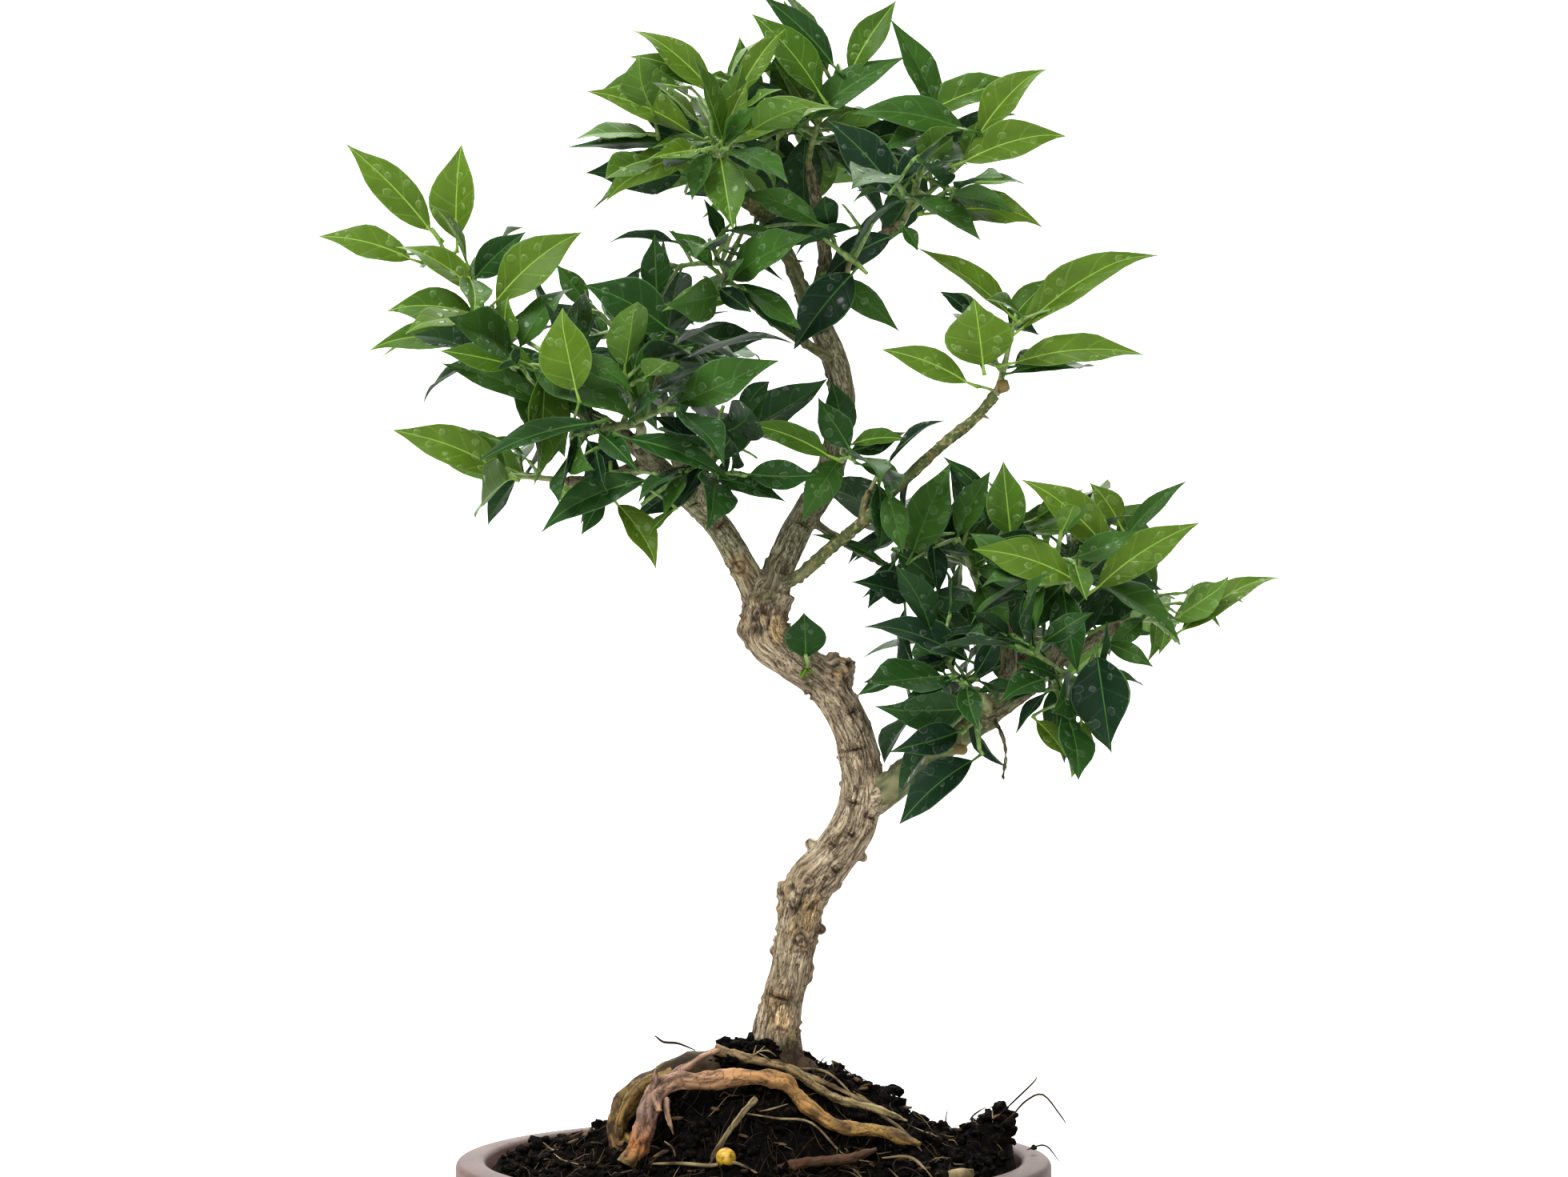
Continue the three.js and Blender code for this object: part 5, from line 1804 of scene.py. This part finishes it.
# %% [markdown]
# ## Young green shoots
#
# The skin of a young shoot is living green tissue under thin wax, so it shines a little. Two ramps
# of the same noise, one fresh and one browned, are mixed by the shoot's age.
#
# %% Young green shoots
FRESH_SHOOT = ("#44662A", "#6F8F42")
BROWNED_SHOOT = ("#5A5136", "#8A8258")

shoot_skin, surface = new_material("young green shoot", Roughness=0.5, Specular_IOR_Level=0.4)
mottled = [speckle(shoot_skin, 2.5, 3)]
fresh = add_node(shoot_skin, "ValToRGB", mottled, stops=even_stops(FRESH_SHOOT, 0.35, 0.65))
browned = add_node(shoot_skin, "ValToRGB", mottled, stops=even_stops(BROWNED_SHOOT, 0.35, 0.65))
lay_colours(shoot_skin, surface, fresh, (*kept_values(shoot_skin, "age"), browned))
dress(shoots_piece, "citrus_leaf", *MASSES, material=shoot_skin)

# %% [markdown]
# ## Roots
#
# The upper roots were washed bare when the tree was potted. The arch runs from mauve-grey through
# orange-brown to straw, and the thick one behind it is olive with dark moss. As with the boughs,
# the radii and points are those of the solids.
#
# %% Roots
ROOTS = {
    "root_arch": (
        3.9, 2, (-43, -31, 64), (-38, -29, 73), (-35, -27, 85), (-29, -25, 91), (-17, -24, 92),
        (0, -23, 93), (11, -25, 91), (19, -28, 83), (30, -31, 77), (43, -33, 76), (57, -36, 72),
    ),
    "root_left": (
        6.2, 3.4, (-3, -6, 95), (-17, -7, 95), (-31, -9, 91), (-41, -11, 85), (-47, -12, 77),
        (-46, -15, 69), (-42, -19, 64),
    ),
    "root_crossing": (
        1.9, 1.2, (-13, -12, 101), (0, -17, 98), (13, -19, 95), (27, -20, 86), (41, -21, 82),
        (53, -23, 78),
    ),
    "root_right": (3.4, 1.8, (12, -4, 94), (20, -5, 90), (31, -7, 85), (44, -9, 80)),
    "root_front": (2.4, 1.5, (1, -42, 62), (16, -41, 66), (32, -41, 68), (42, -40, 71)),
    "dead_stick": (1.1, 0.9, (1, -31, 87), (-7, -36, 78), (-16, -41, 64)),
}
# Thin side roots and pegs that break out of a root.
SIDE_ROOTS = {
    "root_arch": [
        (1.6, 1.0, (-34, -27, 88), (-33.5, -28, 93), (-33, -29, 97)),
        (1.5, 1.2, (-31, -24, 92), (-24, -22, 95.5), (-17, -18, 99.5), (-10, -13, 102)),
        (1.5, 0.6, (-30, -27, 86), (-29, -31, 81), (-27, -34, 75)),
        (2.3, 2.9, (-33.5, -28, 87), (-32.5, -30.5, 84.5), (-32, -31.5, 82.5)),
    ],
    "root_crossing": [
        (1.1, 0.7, (12, -19, 95), (22, -15, 91), (33, -15, 86), (44, -18, 81)),
    ],
    "root_left": [
        (1.4, 0.8, (-44, -16, 72), (-41, -22, 69), (-36, -28, 64)),
        (2.2, 1.5, (-28, -15, 93), (-37, -17, 90), (-43, -18, 84), (-46, -18, 77), (-46, -18, 70)),
    ],
}

# The bark's colours from the root's start to its end, with the share of the way where each lies.
ROOT_LOOKS = {
    "root_arch": (
        (0, "#6E6238"), (0.07, "#A5683A"), (0.17, "#8A7064"), (0.34, "#AE8768"), (0.52, "#A67A4A"),
        (0.75, "#A27A40"), (1, "#8A7038"),
    ),
    "root_left": ((0, "#302A1A"), (0.3, "#4E4426"), (0.55, "#866E38"), (0.8, "#806036"), (1, "#6A4E2A")),
    "root_crossing": ((0, "#7E6848"), (0.5, "#86744C"), (1, "#94865A")),
    "root_right": ((0, "#4A4228"), (1, "#857848")),
    "root_front": ((0, "#40281A"), (0.5, "#5A3A22"), (1, "#4E3A28")),
    "dead_stick": ((0, "#94865E"), (1, "#6A5C40")),
}
print("roots:", len(ROOTS), "side roots:", sum(len(sides) for sides in SIDE_ROOTS.values()))

# %% [markdown]
# ## Root bark
#
# Root bark is smoother than the trunk's and a little waxy where it was washed. It flakes, so thin
# dark rims wander over it: the lines where a noise crosses its middle value. One ramp along the
# root's way gives its changing colours.
#
# %% Root bark
DARK_STREAK, FLAKE_RIM, ROOT_CRACK = "#33261A", "#3A281A", "#271C12"


def root_material(name, looks):
    """Flaky, streaked bark with colours that change along the way."""
    made, surface = new_material(name, Roughness=0.72, Specular_IOR_Level=0.18)
    way, streak, crack = kept_values(made, "way", "streak", "crack")
    pale = add_node(made, "ValToRGB", [way], stops=looks)
    paleness = add_node(made, "MapRange", {0: streak, 3: 0.16, 4: 1.15})
    flake = from_half(made, speckle(made, 4.5, 2))
    rim = add_node(made, "MapRange", {0: flake, 2: 0.022, 3: 0.75, 4: 0.0})
    lay_colours(
        made, surface, linear(DARK_STREAK), (paleness, pale), (rim, FLAKE_RIM), (crack, ROOT_CRACK)
    )
    height = add_node(made, "Math", [rim, -0.8, speckle(made, 0.6)], operation="MULTIPLY_ADD")
    roughen(made, surface, height, 0.6, 0.35)
    return made


root_finishes = {
    name: root_material(name.replace("_", " ") + " skin", looks) for name, looks in ROOT_LOOKS.items()
}
print("root finishes:", len(root_finishes))

# %% [markdown]
# ## Bare roots
#
# A root narrows towards its end, swells in knuckles and wrinkles lengthwise. Each is one tube with
# that relief pushed out of it, and its side roots are smaller tubes that start inside it.
#
# %% Bare roots
MOSSY_TOPS = {"root_left": 0.9}
SIDE_WAYS = {"root_left": 0.5}
ROOT_SIDES = 30
ROOT_STEP = 0.5
TAPER_LENGTH = 6
KNUCKLE = {"every": 13, "high": 0.3}
WRINKLE = {"wide": 1.6, "long": 9, "edge": 0.18, "deep": 0.5}


def root_tube(root, seed, mossy=0):
    """A wrinkled root, and what each of its points is."""
    thick, thin, *path = root
    at = smooth_path(path)
    length = length_of(at)
    steps = round(length / ROOT_STEP)
    shares = np.linspace(0, 1, steps + 1)
    widths = mix(thick, thin, shares) * (1 - 0.6 * soft_step(shares, 1 - TAPER_LENGTH / length, 1))
    knuckles = [noise.noise((share * length / KNUCKLE["every"], seed, 0)) for share in shares]
    bend = 1 + KNUCKLE["high"] * np.array(knuckles)
    points, faces = tube(rings_along(at, steps), widths * bend, ROOT_SIDES)
    way = ring_values(shares, [0, 1], ROOT_SIDES)
    radius = ring_values(widths, [thick, thin], ROOT_SIDES)
    wander = lump_noise(points, 6, seed)
    angle = angles_round(steps + 1, ROOT_SIDES)
    places = (way * length + 3 * wander, angle + 0.5 * wander, radius)
    wrinkle = cracks(places, WRINKLE, seed)
    streak = 0.5 + grain_noise(*places, 1.1, 9, seed + 9) + 0.4 * lump_noise(points, 5, seed + 4)
    fine = lump_noise(points, 1.4, seed)
    height = radius * 0.36 * lump_noise(points, max(3.5, thick * 1.3), seed) + 0.2 * fine
    height -= WRINKLE["deep"] * wrinkle * np.clip(radius / 4, 0.3, 1)
    outward = away_from(at, way, points)
    moss = mossy * np.clip(0.8 * outward[:, 2] + 2.4 * lump_noise(points, 3.4, seed + 7), 0, 1)
    dark = np.maximum(wrinkle * 0.8, moss)
    return points + outward * height[:, None], faces, dark, np.clip(streak, 0, 1), way


for seed, (name, root) in enumerate(ROOTS.items(), 40):
    parts = [root_tube(root, seed, MOSSY_TOPS.get(name, 0))]
    for i, side in enumerate(SIDE_ROOTS.get(name, [])):
        *skin, way = root_tube(side, seed + 60 + i)
        parts.append((*skin, SIDE_WAYS.get(name, 0.15) + 0.2 * way))
    root_piece = make_grown(name + "_bark", parts, "crack", "streak", "way")
    dress(root_piece, "root_bark", name, material=root_finishes[name])

# %% [markdown]
# ## Soil
#
# The pot is filled with moist peat, heaped into a mound under the tree and against the right side
# of the rim. The heaps are the solid's own, with crumbs pushed out of a fine mesh.
#
# %% Soil
POT = {
    "half_wide": 104, "oval": 0.84, "height": 62, "foot_half": 84, "wall": 8, "floor": 7,
    "lip_height": 11, "lip_stand_out": 3, "lip_wide": 10.5, "lip_round": 2.6, "edge_round": 1.4,
    "foot_round": 2, "floor_round": 4, "drain_radius": 6, "drain_offset": 42,
}
SOIL_LEVEL = 58

# Each heap's middle x and y, half widths along X and Y, height and steepness.
HEAPS = [
    (0, 2, 46, 40, 34, 1.5), (52, 4, 34, 32, 11, 1), (86, 4, 12, 14, 15, 1.2), (-58, 12, 20, 26, 5, 1),
]
CRUMBLE = 2
CRUMBLE_WAVE = TURN / 24
SOIL_RINGS = 100
SOIL_SIDES = 260
WALL_FOOT = 40
GAP = 0.3


def inner_half(z):
    """Half the pot's inner width at this height."""
    share = (z - POT["floor"]) / (POT["height"] - POT["floor"])
    return mix(POT["foot_half"] - POT["wall"], POT["half_wide"] - POT["lip_wide"], share)


def ground_at(x, y):
    height = SOIL_LEVEL
    for heap_x, heap_y, half_x, half_y, high, steep in HEAPS:
        spread = ((x - heap_x) / half_x) ** 2 + ((y - heap_y) / half_y) ** 2
        height = height + high * np.exp(-(spread**steep))
    return height + CRUMBLE * np.sin(x * CRUMBLE_WAVE) * np.cos(y * CRUMBLE_WAVE * 1.3 + x * 0.1)


def oval_ring(half, angles, z):
    """Points round the pot's oval."""
    return np.stack([half * np.cos(angles), half * POT["oval"] * np.sin(angles), angles * 0 + z], axis=1)


def crumbly(x, y):
    """The height of the surface's crumbs."""
    flat = np.stack([x, y, x * 0], axis=1)
    coarse = np.abs(lump_noise(flat, 4.2, 1.5))
    middle = np.abs(lump_noise(flat, 2.0, 6.5))
    fine = lump_noise(flat, 0.9, 9.5)
    return 2.4 * coarse + 1.6 * middle + 0.5 * fine - 0.8


edge = inner_half(SOIL_LEVEL) - GAP
shares = np.linspace(1, 0.004, SOIL_RINGS)
angles = np.linspace(0, TURN, SOIL_SIDES, endpoint=False)
ring_share, ring_angle = (grid.ravel() for grid in np.meshgrid(shares, angles, indexing="ij"))
soil_top = oval_ring(ring_share * edge, ring_angle, 0)
soil_x, soil_y = soil_top[:, 0], soil_top[:, 1]
fade = soft_step(1 - ring_share, 0, 0.03)
bumpy = ground_at(soil_x, soil_y) * fade
soil_top[:, 2] = bumpy + SOIL_LEVEL * (1 - fade) + crumbly(soil_x, soil_y) * fade - 0.6
floor = POT["floor"] + GAP
wall = [
    oval_ring(inner_half(POT["floor"]) - POT["floor_round"] - GAP, angles, floor),
    oval_ring(edge - 2.5, angles, WALL_FOOT),
]
soil_points = np.vstack(wall + [soil_top, [[0, 0, floor]]])
soil_faces = band_faces(SOIL_RINGS + len(wall), SOIL_SIDES)
top_ring = (SOIL_RINGS + len(wall) - 1) * SOIL_SIDES
soil_faces.append(tuple(range(top_ring, top_ring + SOIL_SIDES)))
soil_faces += [(len(soil_points) - 1, k, j) for j, k in around(SOIL_SIDES)]
soil_piece = make_piece("peat_surface", soil_points, soil_faces)
print("rings of the soil:", SOIL_RINGS + len(wall), "with", SOIL_SIDES, "points each")

# %% [markdown]
# ## Crumbs
#
# Peat breaks up into crumbs that lie loose, and against the light they fray the mound's outline. A
# particle system could scatter them, but can't be kept as a mesh, so each is a small dented lump:
# small ones everywhere, more along the rim, and three heaps.
#
# %% Crumbs
CRUMB_COUNT = 3200
RIM_CRUMBS = 520
LARGE_CRUMB = 1.0
# The farthest crumb from the middle, as a share of the way out to the rim.
FARTHEST_CRUMB = 0.93
CLUMPS = [
    {"count": 360, "middle": (90, 4, 67), "halves": (10, 12, 12)},
    {"count": 520, "middle": (-2, -9, 96), "halves": (12, 8, 9)},
    {"count": 200, "middle": (38, 10, 82), "halves": (16, 14, 3)},
]
# Crumbs may lie on the pot's lip up to this height, so a little past the soil's edge.
ON_LIP = {"top": 64.5, "reach": 1.2, "elsewhere": 0.99}


def crumb(centre, radius, draw):
    """A dented lump, stretched its own way."""
    points, faces = ball((0, 0, 0), 1, 1 if radius < LARGE_CRUMB else 2)
    dents = 1 + 0.9 * lump_noise(points, 0.9, draw(0, 90))
    stretch = np.array([draw(0.6, 1.4), draw(0.6, 1.4), draw(0.5, 1.1)])
    return points * dents[:, None] * stretch * radius + centre, faces


def on_ground(draw, low, high):
    """A chance place on the soil."""
    share, angle = draw(low, high) ** 0.5, draw(0, TURN)
    x, y = share * edge * math.cos(angle), share * edge * POT["oval"] * math.sin(angle)
    return x, y, float(ground_at(x, y))


def out_share(x, y):
    """The square of a place's share of the way to the soil's edge."""
    return (x / edge) ** 2 + (y / edge / POT["oval"]) ** 2


draw = draws_from(77)
parts = []
for _ in range(CRUMB_COUNT):
    x, y, z = on_ground(draw, 0, FARTHEST_CRUMB)
    radius = 0.4 + 1.9 * draw(0, 1) ** 3.4
    parts.append(crumb((x, y, z + radius * draw(0, 0.8)), radius, draw))
for _ in range(RIM_CRUMBS):
    x, y, z = on_ground(draw, 0.8, FARTHEST_CRUMB)
    parts.append(crumb((x, y, z + draw(0, 2.6)), 0.5 + 1.3 * draw(0, 1) ** 2, draw))
for clump in CLUMPS:
    for _ in range(clump["count"]):
        way = unit(np.array([draw(-1, 1), draw(-1, 1), draw(-0.3, 1)])) * draw(0.2, 1) ** 0.5
        x, y, z = np.array(clump["middle"]) + way * clump["halves"]
        reach = ON_LIP["reach"] if POT["height"] < z < ON_LIP["top"] else ON_LIP["elsewhere"]
        if out_share(x, y) < reach and z > ground_at(x, y) - 1:
            parts.append(crumb((x, y, z), 0.5 + 1.7 * draw(0, 1) ** 2, draw))
crumbs_piece = make_piece("peat_crumbs", *joined(parts))
print("crumbs:", len(parts))

# %% [markdown]
# ## Moist peat
#
# Moist peat is nearly black and drinks up the light, so it is rough and hardly shines. Its loose
# crumbs are a little browner, because they dry first.
#
# %% Moist peat
def peat_material(name, colours):
    """Black, with brown crumbs and no shine."""
    made, surface = new_material(name, Roughness=0.92, Specular_IOR_Level=0.04)
    brown = add_node(made, "ValToRGB", [speckle(made, 2.2, 7)], stops=even_stops(colours, 0.4, 0.72))
    wire(brown, surface, "Base Color")
    roughen(made, surface, speckle(made, 0.7, 5), 1.0, 0.7)
    return made


moist_peat = peat_material("moist peat", ("#040303", "#080605", "#1C140E"))
loose_peat = peat_material("loose peat", ("#040303", "#0A0806", "#2A1E14"))
dress(soil_piece, "peat_soil", "soil", material=moist_peat)
dress(crumbs_piece, "peat_soil", "soil", material=loose_peat)

# %% [markdown]
# ## Fibres and rootlets
#
# What makes peat read as peat is what sticks out of it: hair-fine rootlets and brown fibres. Hair
# can't be kept as a mesh, so they are thin tubes that follow the ground, hundreds of short ones by
# chance and a few long ones placed where they show.
#
# %% Fibres and rootlets
FIBRE_COUNT = 800
STANDING_COUNT = 110
PALE_EVERY = 7

# Radius and route of rootlets that show, as x, y and the height above the ground.
ROOTLETS = [
    (0.55, [(-4, -31, 4), (8, -33, 5.5), (20, -33, 4), (31, -35, 2), (41, -37, 1)]),
    (0.4, [(2, -30, 4), (6, -31, 7), (12, -31, 8)]),
    (0.8, [(-36, -2, 8), (-28, -4, 6), (-20, -6, 3)]),
    (0.5, [(-30, -35, 5), (-27, -37, 3), (-26, -38, -1)]),
    (0.4, [(-58, -20, 1), (-66, -10, 2), (-70, 0, 0)]),
    (0.7, [(44, -30, 1), (54, -33, 2), (62, -38, 0)]),
    (0.8, [(40, -14, 2), (50, -18, 3), (58, -22, 1)]),
    (0.6, [(14, -14, 3), (26, -12, 4), (38, -14, 1)]),
    (0.9, [(-34, -38, 1), (-24, -42, 2), (-14, -43, 1), (-6, -46, 1), (6, -48, 0)]),
    (0.4, [(-40, -32, 0), (-46, -38, 1), (-50, -44, 0)]),
    (0.45, [(46, -40, 2), (52, -44, 1), (57, -48, 0)]),
    (0.35, [(28, -38, 1), (34, -42, 2), (39, -46, 0)]),
]

# Radius and route of wiry roots that stand free, as plain places: dark ones, then pale ones.
DARK_WIRES = [
    (0.4, [(84, -4, 72), (90, -5, 77), (95, -4, 82), (101, -3, 84), (107, -4, 77), (109, -4, 74)]),
    (0.35, [(84, 2, 74), (91, 1, 81), (98, 0, 88), (99, 0, 90)]),
    (0.35, [(95, -10, 66), (101, -14, 68), (106, -16, 62.5)]),
    (0.5, [(-34, -14, 106), (-31, -15, 104), (-26, -15, 103.5), (-20, -14, 101)]),
]
PALE_WIRES = [
    (0.28, [(1, -16, 103), (0, -18, 100), (-1, -18, 97)]),
    (0.28, [(1, -18, 101), (5, -19, 101.5), (8, -18.5, 99.5)]),
    (0.28, [(2, -18, 100.5), (5, -19.5, 99), (7, -19, 96.5)]),
    (0.25, [(-3, -17, 99), (1, -18.5, 100.5), (4, -18, 103)]),
]


def thread(points, radius, sides=4, steps=8):
    """A thin tube that tapers to both ends."""
    at = smooth_path(points)
    shares = np.linspace(0, 1, steps + 1)
    radii = radius * (0.35 + 0.65 * np.sin(math.pi * np.clip(shares * 0.9 + 0.08, 0, 1)))
    return tube(rings_along(at, steps), radii, sides)


def chance_fibre(draw):
    """A short fibre on the ground, or nothing where it would cross the rim."""
    x, y, _ = on_ground(draw, 0, 0.9)
    course, length, bend = draw(0, TURN), draw(3, 14), draw(-1.8, 1.8)
    lift, route = draw(0, 1) ** 3 * 2.4, []
    for _ in range(4):
        route.append((x, y, float(ground_at(x, y)) + 0.9 + draw(-0.4, 1.2) + lift * draw(0, 1)))
        x += math.cos(course) * length / 3
        y += math.sin(course) * length / 3
        course += bend / 3
        if out_share(x, y) > FARTHEST_CRUMB:
            return None
    return thread(route, 0.1 + 0.3 * draw(0, 1) ** 3)


draw = draws_from(303)
pale_parts = []
for radius, route in ROOTLETS:
    lifted = [(x, y, float(ground_at(x, y)) + radius + lift) for x, y, lift in route]
    pale_parts.append(thread(lifted, radius * 0.8, 7, 18))
pale_parts += [thread(route, radius, 6, 20) for radius, route in PALE_WIRES]
brown_parts = [thread(route, radius, 6, 20) for radius, route in DARK_WIRES]
for _ in range(STANDING_COUNT):
    x, y, z = on_ground(draw, 0.1, 0.9)
    lean = unit(np.array([draw(-1, 1), draw(-1, 1), draw(0.3, 1.4)])) * draw(4, 9)
    bend = np.array([draw(-1.5, 1.5), draw(-1.5, 1.5), 0])
    foot = np.array([x, y, z - 1])
    brown_parts.append(thread([foot, foot + lean / 2 + bend, foot + lean], draw(0.15, 0.3)))
for i in range(FIBRE_COUNT):
    fibre = chance_fibre(draw)
    if fibre:
        (brown_parts if i % PALE_EVERY else pale_parts).append(fibre)
print("fibres and rootlets:", len(brown_parts), "brown and", len(pale_parts), "pale")

# %% [markdown]
# ## Bark chips
#
# Potting soil holds flat chips of composted bark with blunt corners, lying at all angles. Each is a
# ball that is pressed towards a box and dented. One large tan chip lies at the right.
#
# %% Bark chips
CHIP_COUNT = 80
TAN_CHIP = {"at": (70, -46, 63), "halves": (4.6, 2.6, 2.6), "turn": 0.3, "tilt": 0.1, "dents": 5}


def chip(centre, halves, turn, tilt, shift):
    """A flat chip with blunt corners, turned and tilted."""
    points, faces = ball((0, 0, 0), 1, 2)
    dents = 1 + 0.3 * lump_noise(points, 0.9, shift)
    x, y, z = (np.sign(points) * np.abs(points) ** 0.6 * dents[:, None] * halves).T
    cos, sin = math.cos(turn), math.sin(turn)
    return np.stack([x * cos - y * sin, x * sin + y * cos, z + x * tilt], axis=1) + centre, faces


pale_parts.append(chip(*TAN_CHIP.values()))
chip_parts = []
for _ in range(CHIP_COUNT):
    x, y, z = on_ground(draw, 0.1, 0.9)
    halves = (draw(1.4, 3.2), draw(0.8, 1.5), draw(0.3, 0.7))
    chip_parts.append(chip((x, y, z + 1.2), halves, draw(0, TURN), draw(-0.5, 0.5), draw(0, 50)))
print("bark chips:", len(chip_parts))

# %% [markdown]
# ## Dry fibre
#
# Rootlets, fibres and chips are dead plant fibre: dull, dry and streaked. One finish serves all
# three, each with a dark and a pale colour of its own.
#
# %% Dry fibre
def fibre_material(name, dark, pale):
    made, surface = new_material(name, Roughness=0.85, Specular_IOR_Level=0.12)
    streaks = add_node(made, "ValToRGB", [speckle(made, 6)], stops=even_stops((dark, pale), 0.35, 0.68))
    wire(streaks, surface, "Base Color")
    return made


for name, parts, finish, dark, pale in (
    ("pale_rootlets", pale_parts, "pale rootlet", "#3A2F20", "#8E7D5C"),
    ("peat_fibres", brown_parts, "peat fibre", "#0E0A07", "#3A2C1C"),
    ("bark_chips", chip_parts, "bark chip", "#16100B", "#5E4830"),
):
    made = make_piece(name, *joined(parts))
    dress(made, "peat_soil", "soil", material=fibre_material(finish, dark, pale))

# %% [markdown]
# ## Feed pellet
#
# One yellow coated pellet of slow feed lies at the front of the mound. Its coat is a thin resin
# skin, so it shines softly, with brown specks where it wore.
#
# %% Feed pellet
PELLET_RADIUS = 3.4
COAT_COLOURS = ("#4E3A10", "#A9821C", "#C79F2E")

pellet_middle = sum(np.array(corner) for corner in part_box("feed_pellet")) / MM / 2
points, faces = ball(pellet_middle, PELLET_RADIUS, 4)
points = points + (points - pellet_middle) * 0.04 * lump_noise(points, 2)[:, None]
pellet_piece = make_piece("feed_pellet_coat", points, faces)
coat, surface = new_material("resin coat", Roughness=0.4, Specular_IOR_Level=0.4)
worn = add_node(coat, "ValToRGB", [speckle(coat, 1.6)], stops=even_stops(COAT_COLOURS, 0.3, 0.6))
wire(worn, surface, "Base Color")
dress(pellet_piece, "feed_pellet", "feed_pellet", material=coat)

# %% [markdown]
# ## Pot
#
# The pot is stoneware, pressed in a mould, so its form is even: one outline turned about the middle
# and pressed into an oval, with rounded edges and two drain holes. A bevel on a plain form would
# round the lip too, but not give its roll.
#
# %% Pot
POT_SIDES = 220
ARC_STEPS = 7


def arc(centre, radius, start, end):
    """Points on a round edge between two angles."""
    steps = np.radians(np.linspace(start, end, ARC_STEPS))
    return [(centre[0] + radius * math.cos(a), centre[1] + radius * math.sin(a)) for a in steps]


half, high, foot_half = POT["half_wide"], POT["height"], POT["foot_half"]
lip_under = high - POT["lip_height"]
corner = POT["floor"] + POT["floor_round"]
foot_round, lip_round, edge_round = POT["foot_round"], POT["lip_round"], POT["edge_round"] * 1.6
outline_points = [(0.0, 0.0), (foot_half * 0.5, 0.0)]
outline_points += arc((foot_half - foot_round, foot_round), foot_round, -90, -10)
for s in (0.2, 0.4, 0.6, 0.8, 0.97):
    outline_points.append((mix(foot_half, half - POT["lip_stand_out"], s), mix(foot_round, lip_under, s)))
outline_points += [(half - POT["lip_stand_out"] + 0.3, lip_under + 0.1)]
outline_points += arc((half - lip_round, lip_under + lip_round), lip_round, -80, 0)
outline_points += arc((half - edge_round, high - edge_round - 0.5), edge_round, 0, 80)
outline_points += [(half - POT["lip_wide"] * 0.5, high - 0.1)]
outline_points += arc((half - POT["lip_wide"] + edge_round, high - edge_round), edge_round, 95, 180)
outline_points += [(inner_half(WALL_FOOT), WALL_FOOT), (inner_half(corner), corner)]
outline_points += [(inner_half(POT["floor"]) - POT["floor_round"], POT["floor"]), (0.0, POT["floor"])]

angles = np.linspace(0, TURN, POT_SIDES, endpoint=False)
rows = [oval_ring(out, angles, z) for out, z in outline_points[1:-1]]
pot_points = np.vstack(rows + [[[0, 0, 0]], [[0, 0, POT["floor"]]]])
pot_piece = make_piece("glazed_pot", pot_points, closed_faces(len(rows), POT_SIDES))
for side in (-1, 1):
    ends = [(side * POT["drain_offset"], 0, z) for z in (-POT["floor"], 2 * POT["floor"])]
    drill = make_piece("drill", *tube(rings_along(smooth_path(ends), 1), [POT["drain_radius"]] * 2, 48))
    hole = pot_piece.modifiers.new("drain hole", "BOOLEAN")
    hole.object = drill
    hole.operation = "DIFFERENCE"
    settle(pot_piece)
    bpy.data.objects.remove(drill)
print("rows of the pot's outline:", len(rows))

# %% [markdown]
# ## Iron glaze
#
# The pot was dipped in a thin iron glaze and fired. The glaze is mauve brown and semi-matt, cloudy
# where it pooled and specked with iron. On the edge of the lip it runs thin and pale, so height
# above the foot is the mask there.
#
# %% Iron glaze
GLAZE_CLOUDS = ("#432B26", "#5E403A", "#74554D")
THIN_GLAZE, IRON_SPECKS = "#5A504B", "#4A302A"

glaze, surface = new_material("semi-matt iron glaze", Roughness=0.55, Specular_IOR_Level=0.14)
clouds = add_node(glaze, "ValToRGB", [speckle(glaze, 22, 6)], stops=even_stops(GLAZE_CLOUDS, 0.35, 0.68))
place = add_node(glaze, "SeparateXYZ", [add_node(glaze, "TexCoord", out="Object")], "Z")
thin = add_node(glaze, "MapRange", {0: place, 1: 57 * MM, 2: 61.8 * MM, 4: 0.75})
iron = add_node(glaze, "MapRange", [speckle(glaze, 1.5, 2), 0.62, 0.72])
lay_colours(glaze, surface, clouds, (thin, THIN_GLAZE), (iron, IRON_SPECKS))
roughen(glaze, surface, speckle(glaze, 3.5, 3), 0.3, 0.4)
dress(pot_piece, "glazed_stoneware", "pot", material=glaze)
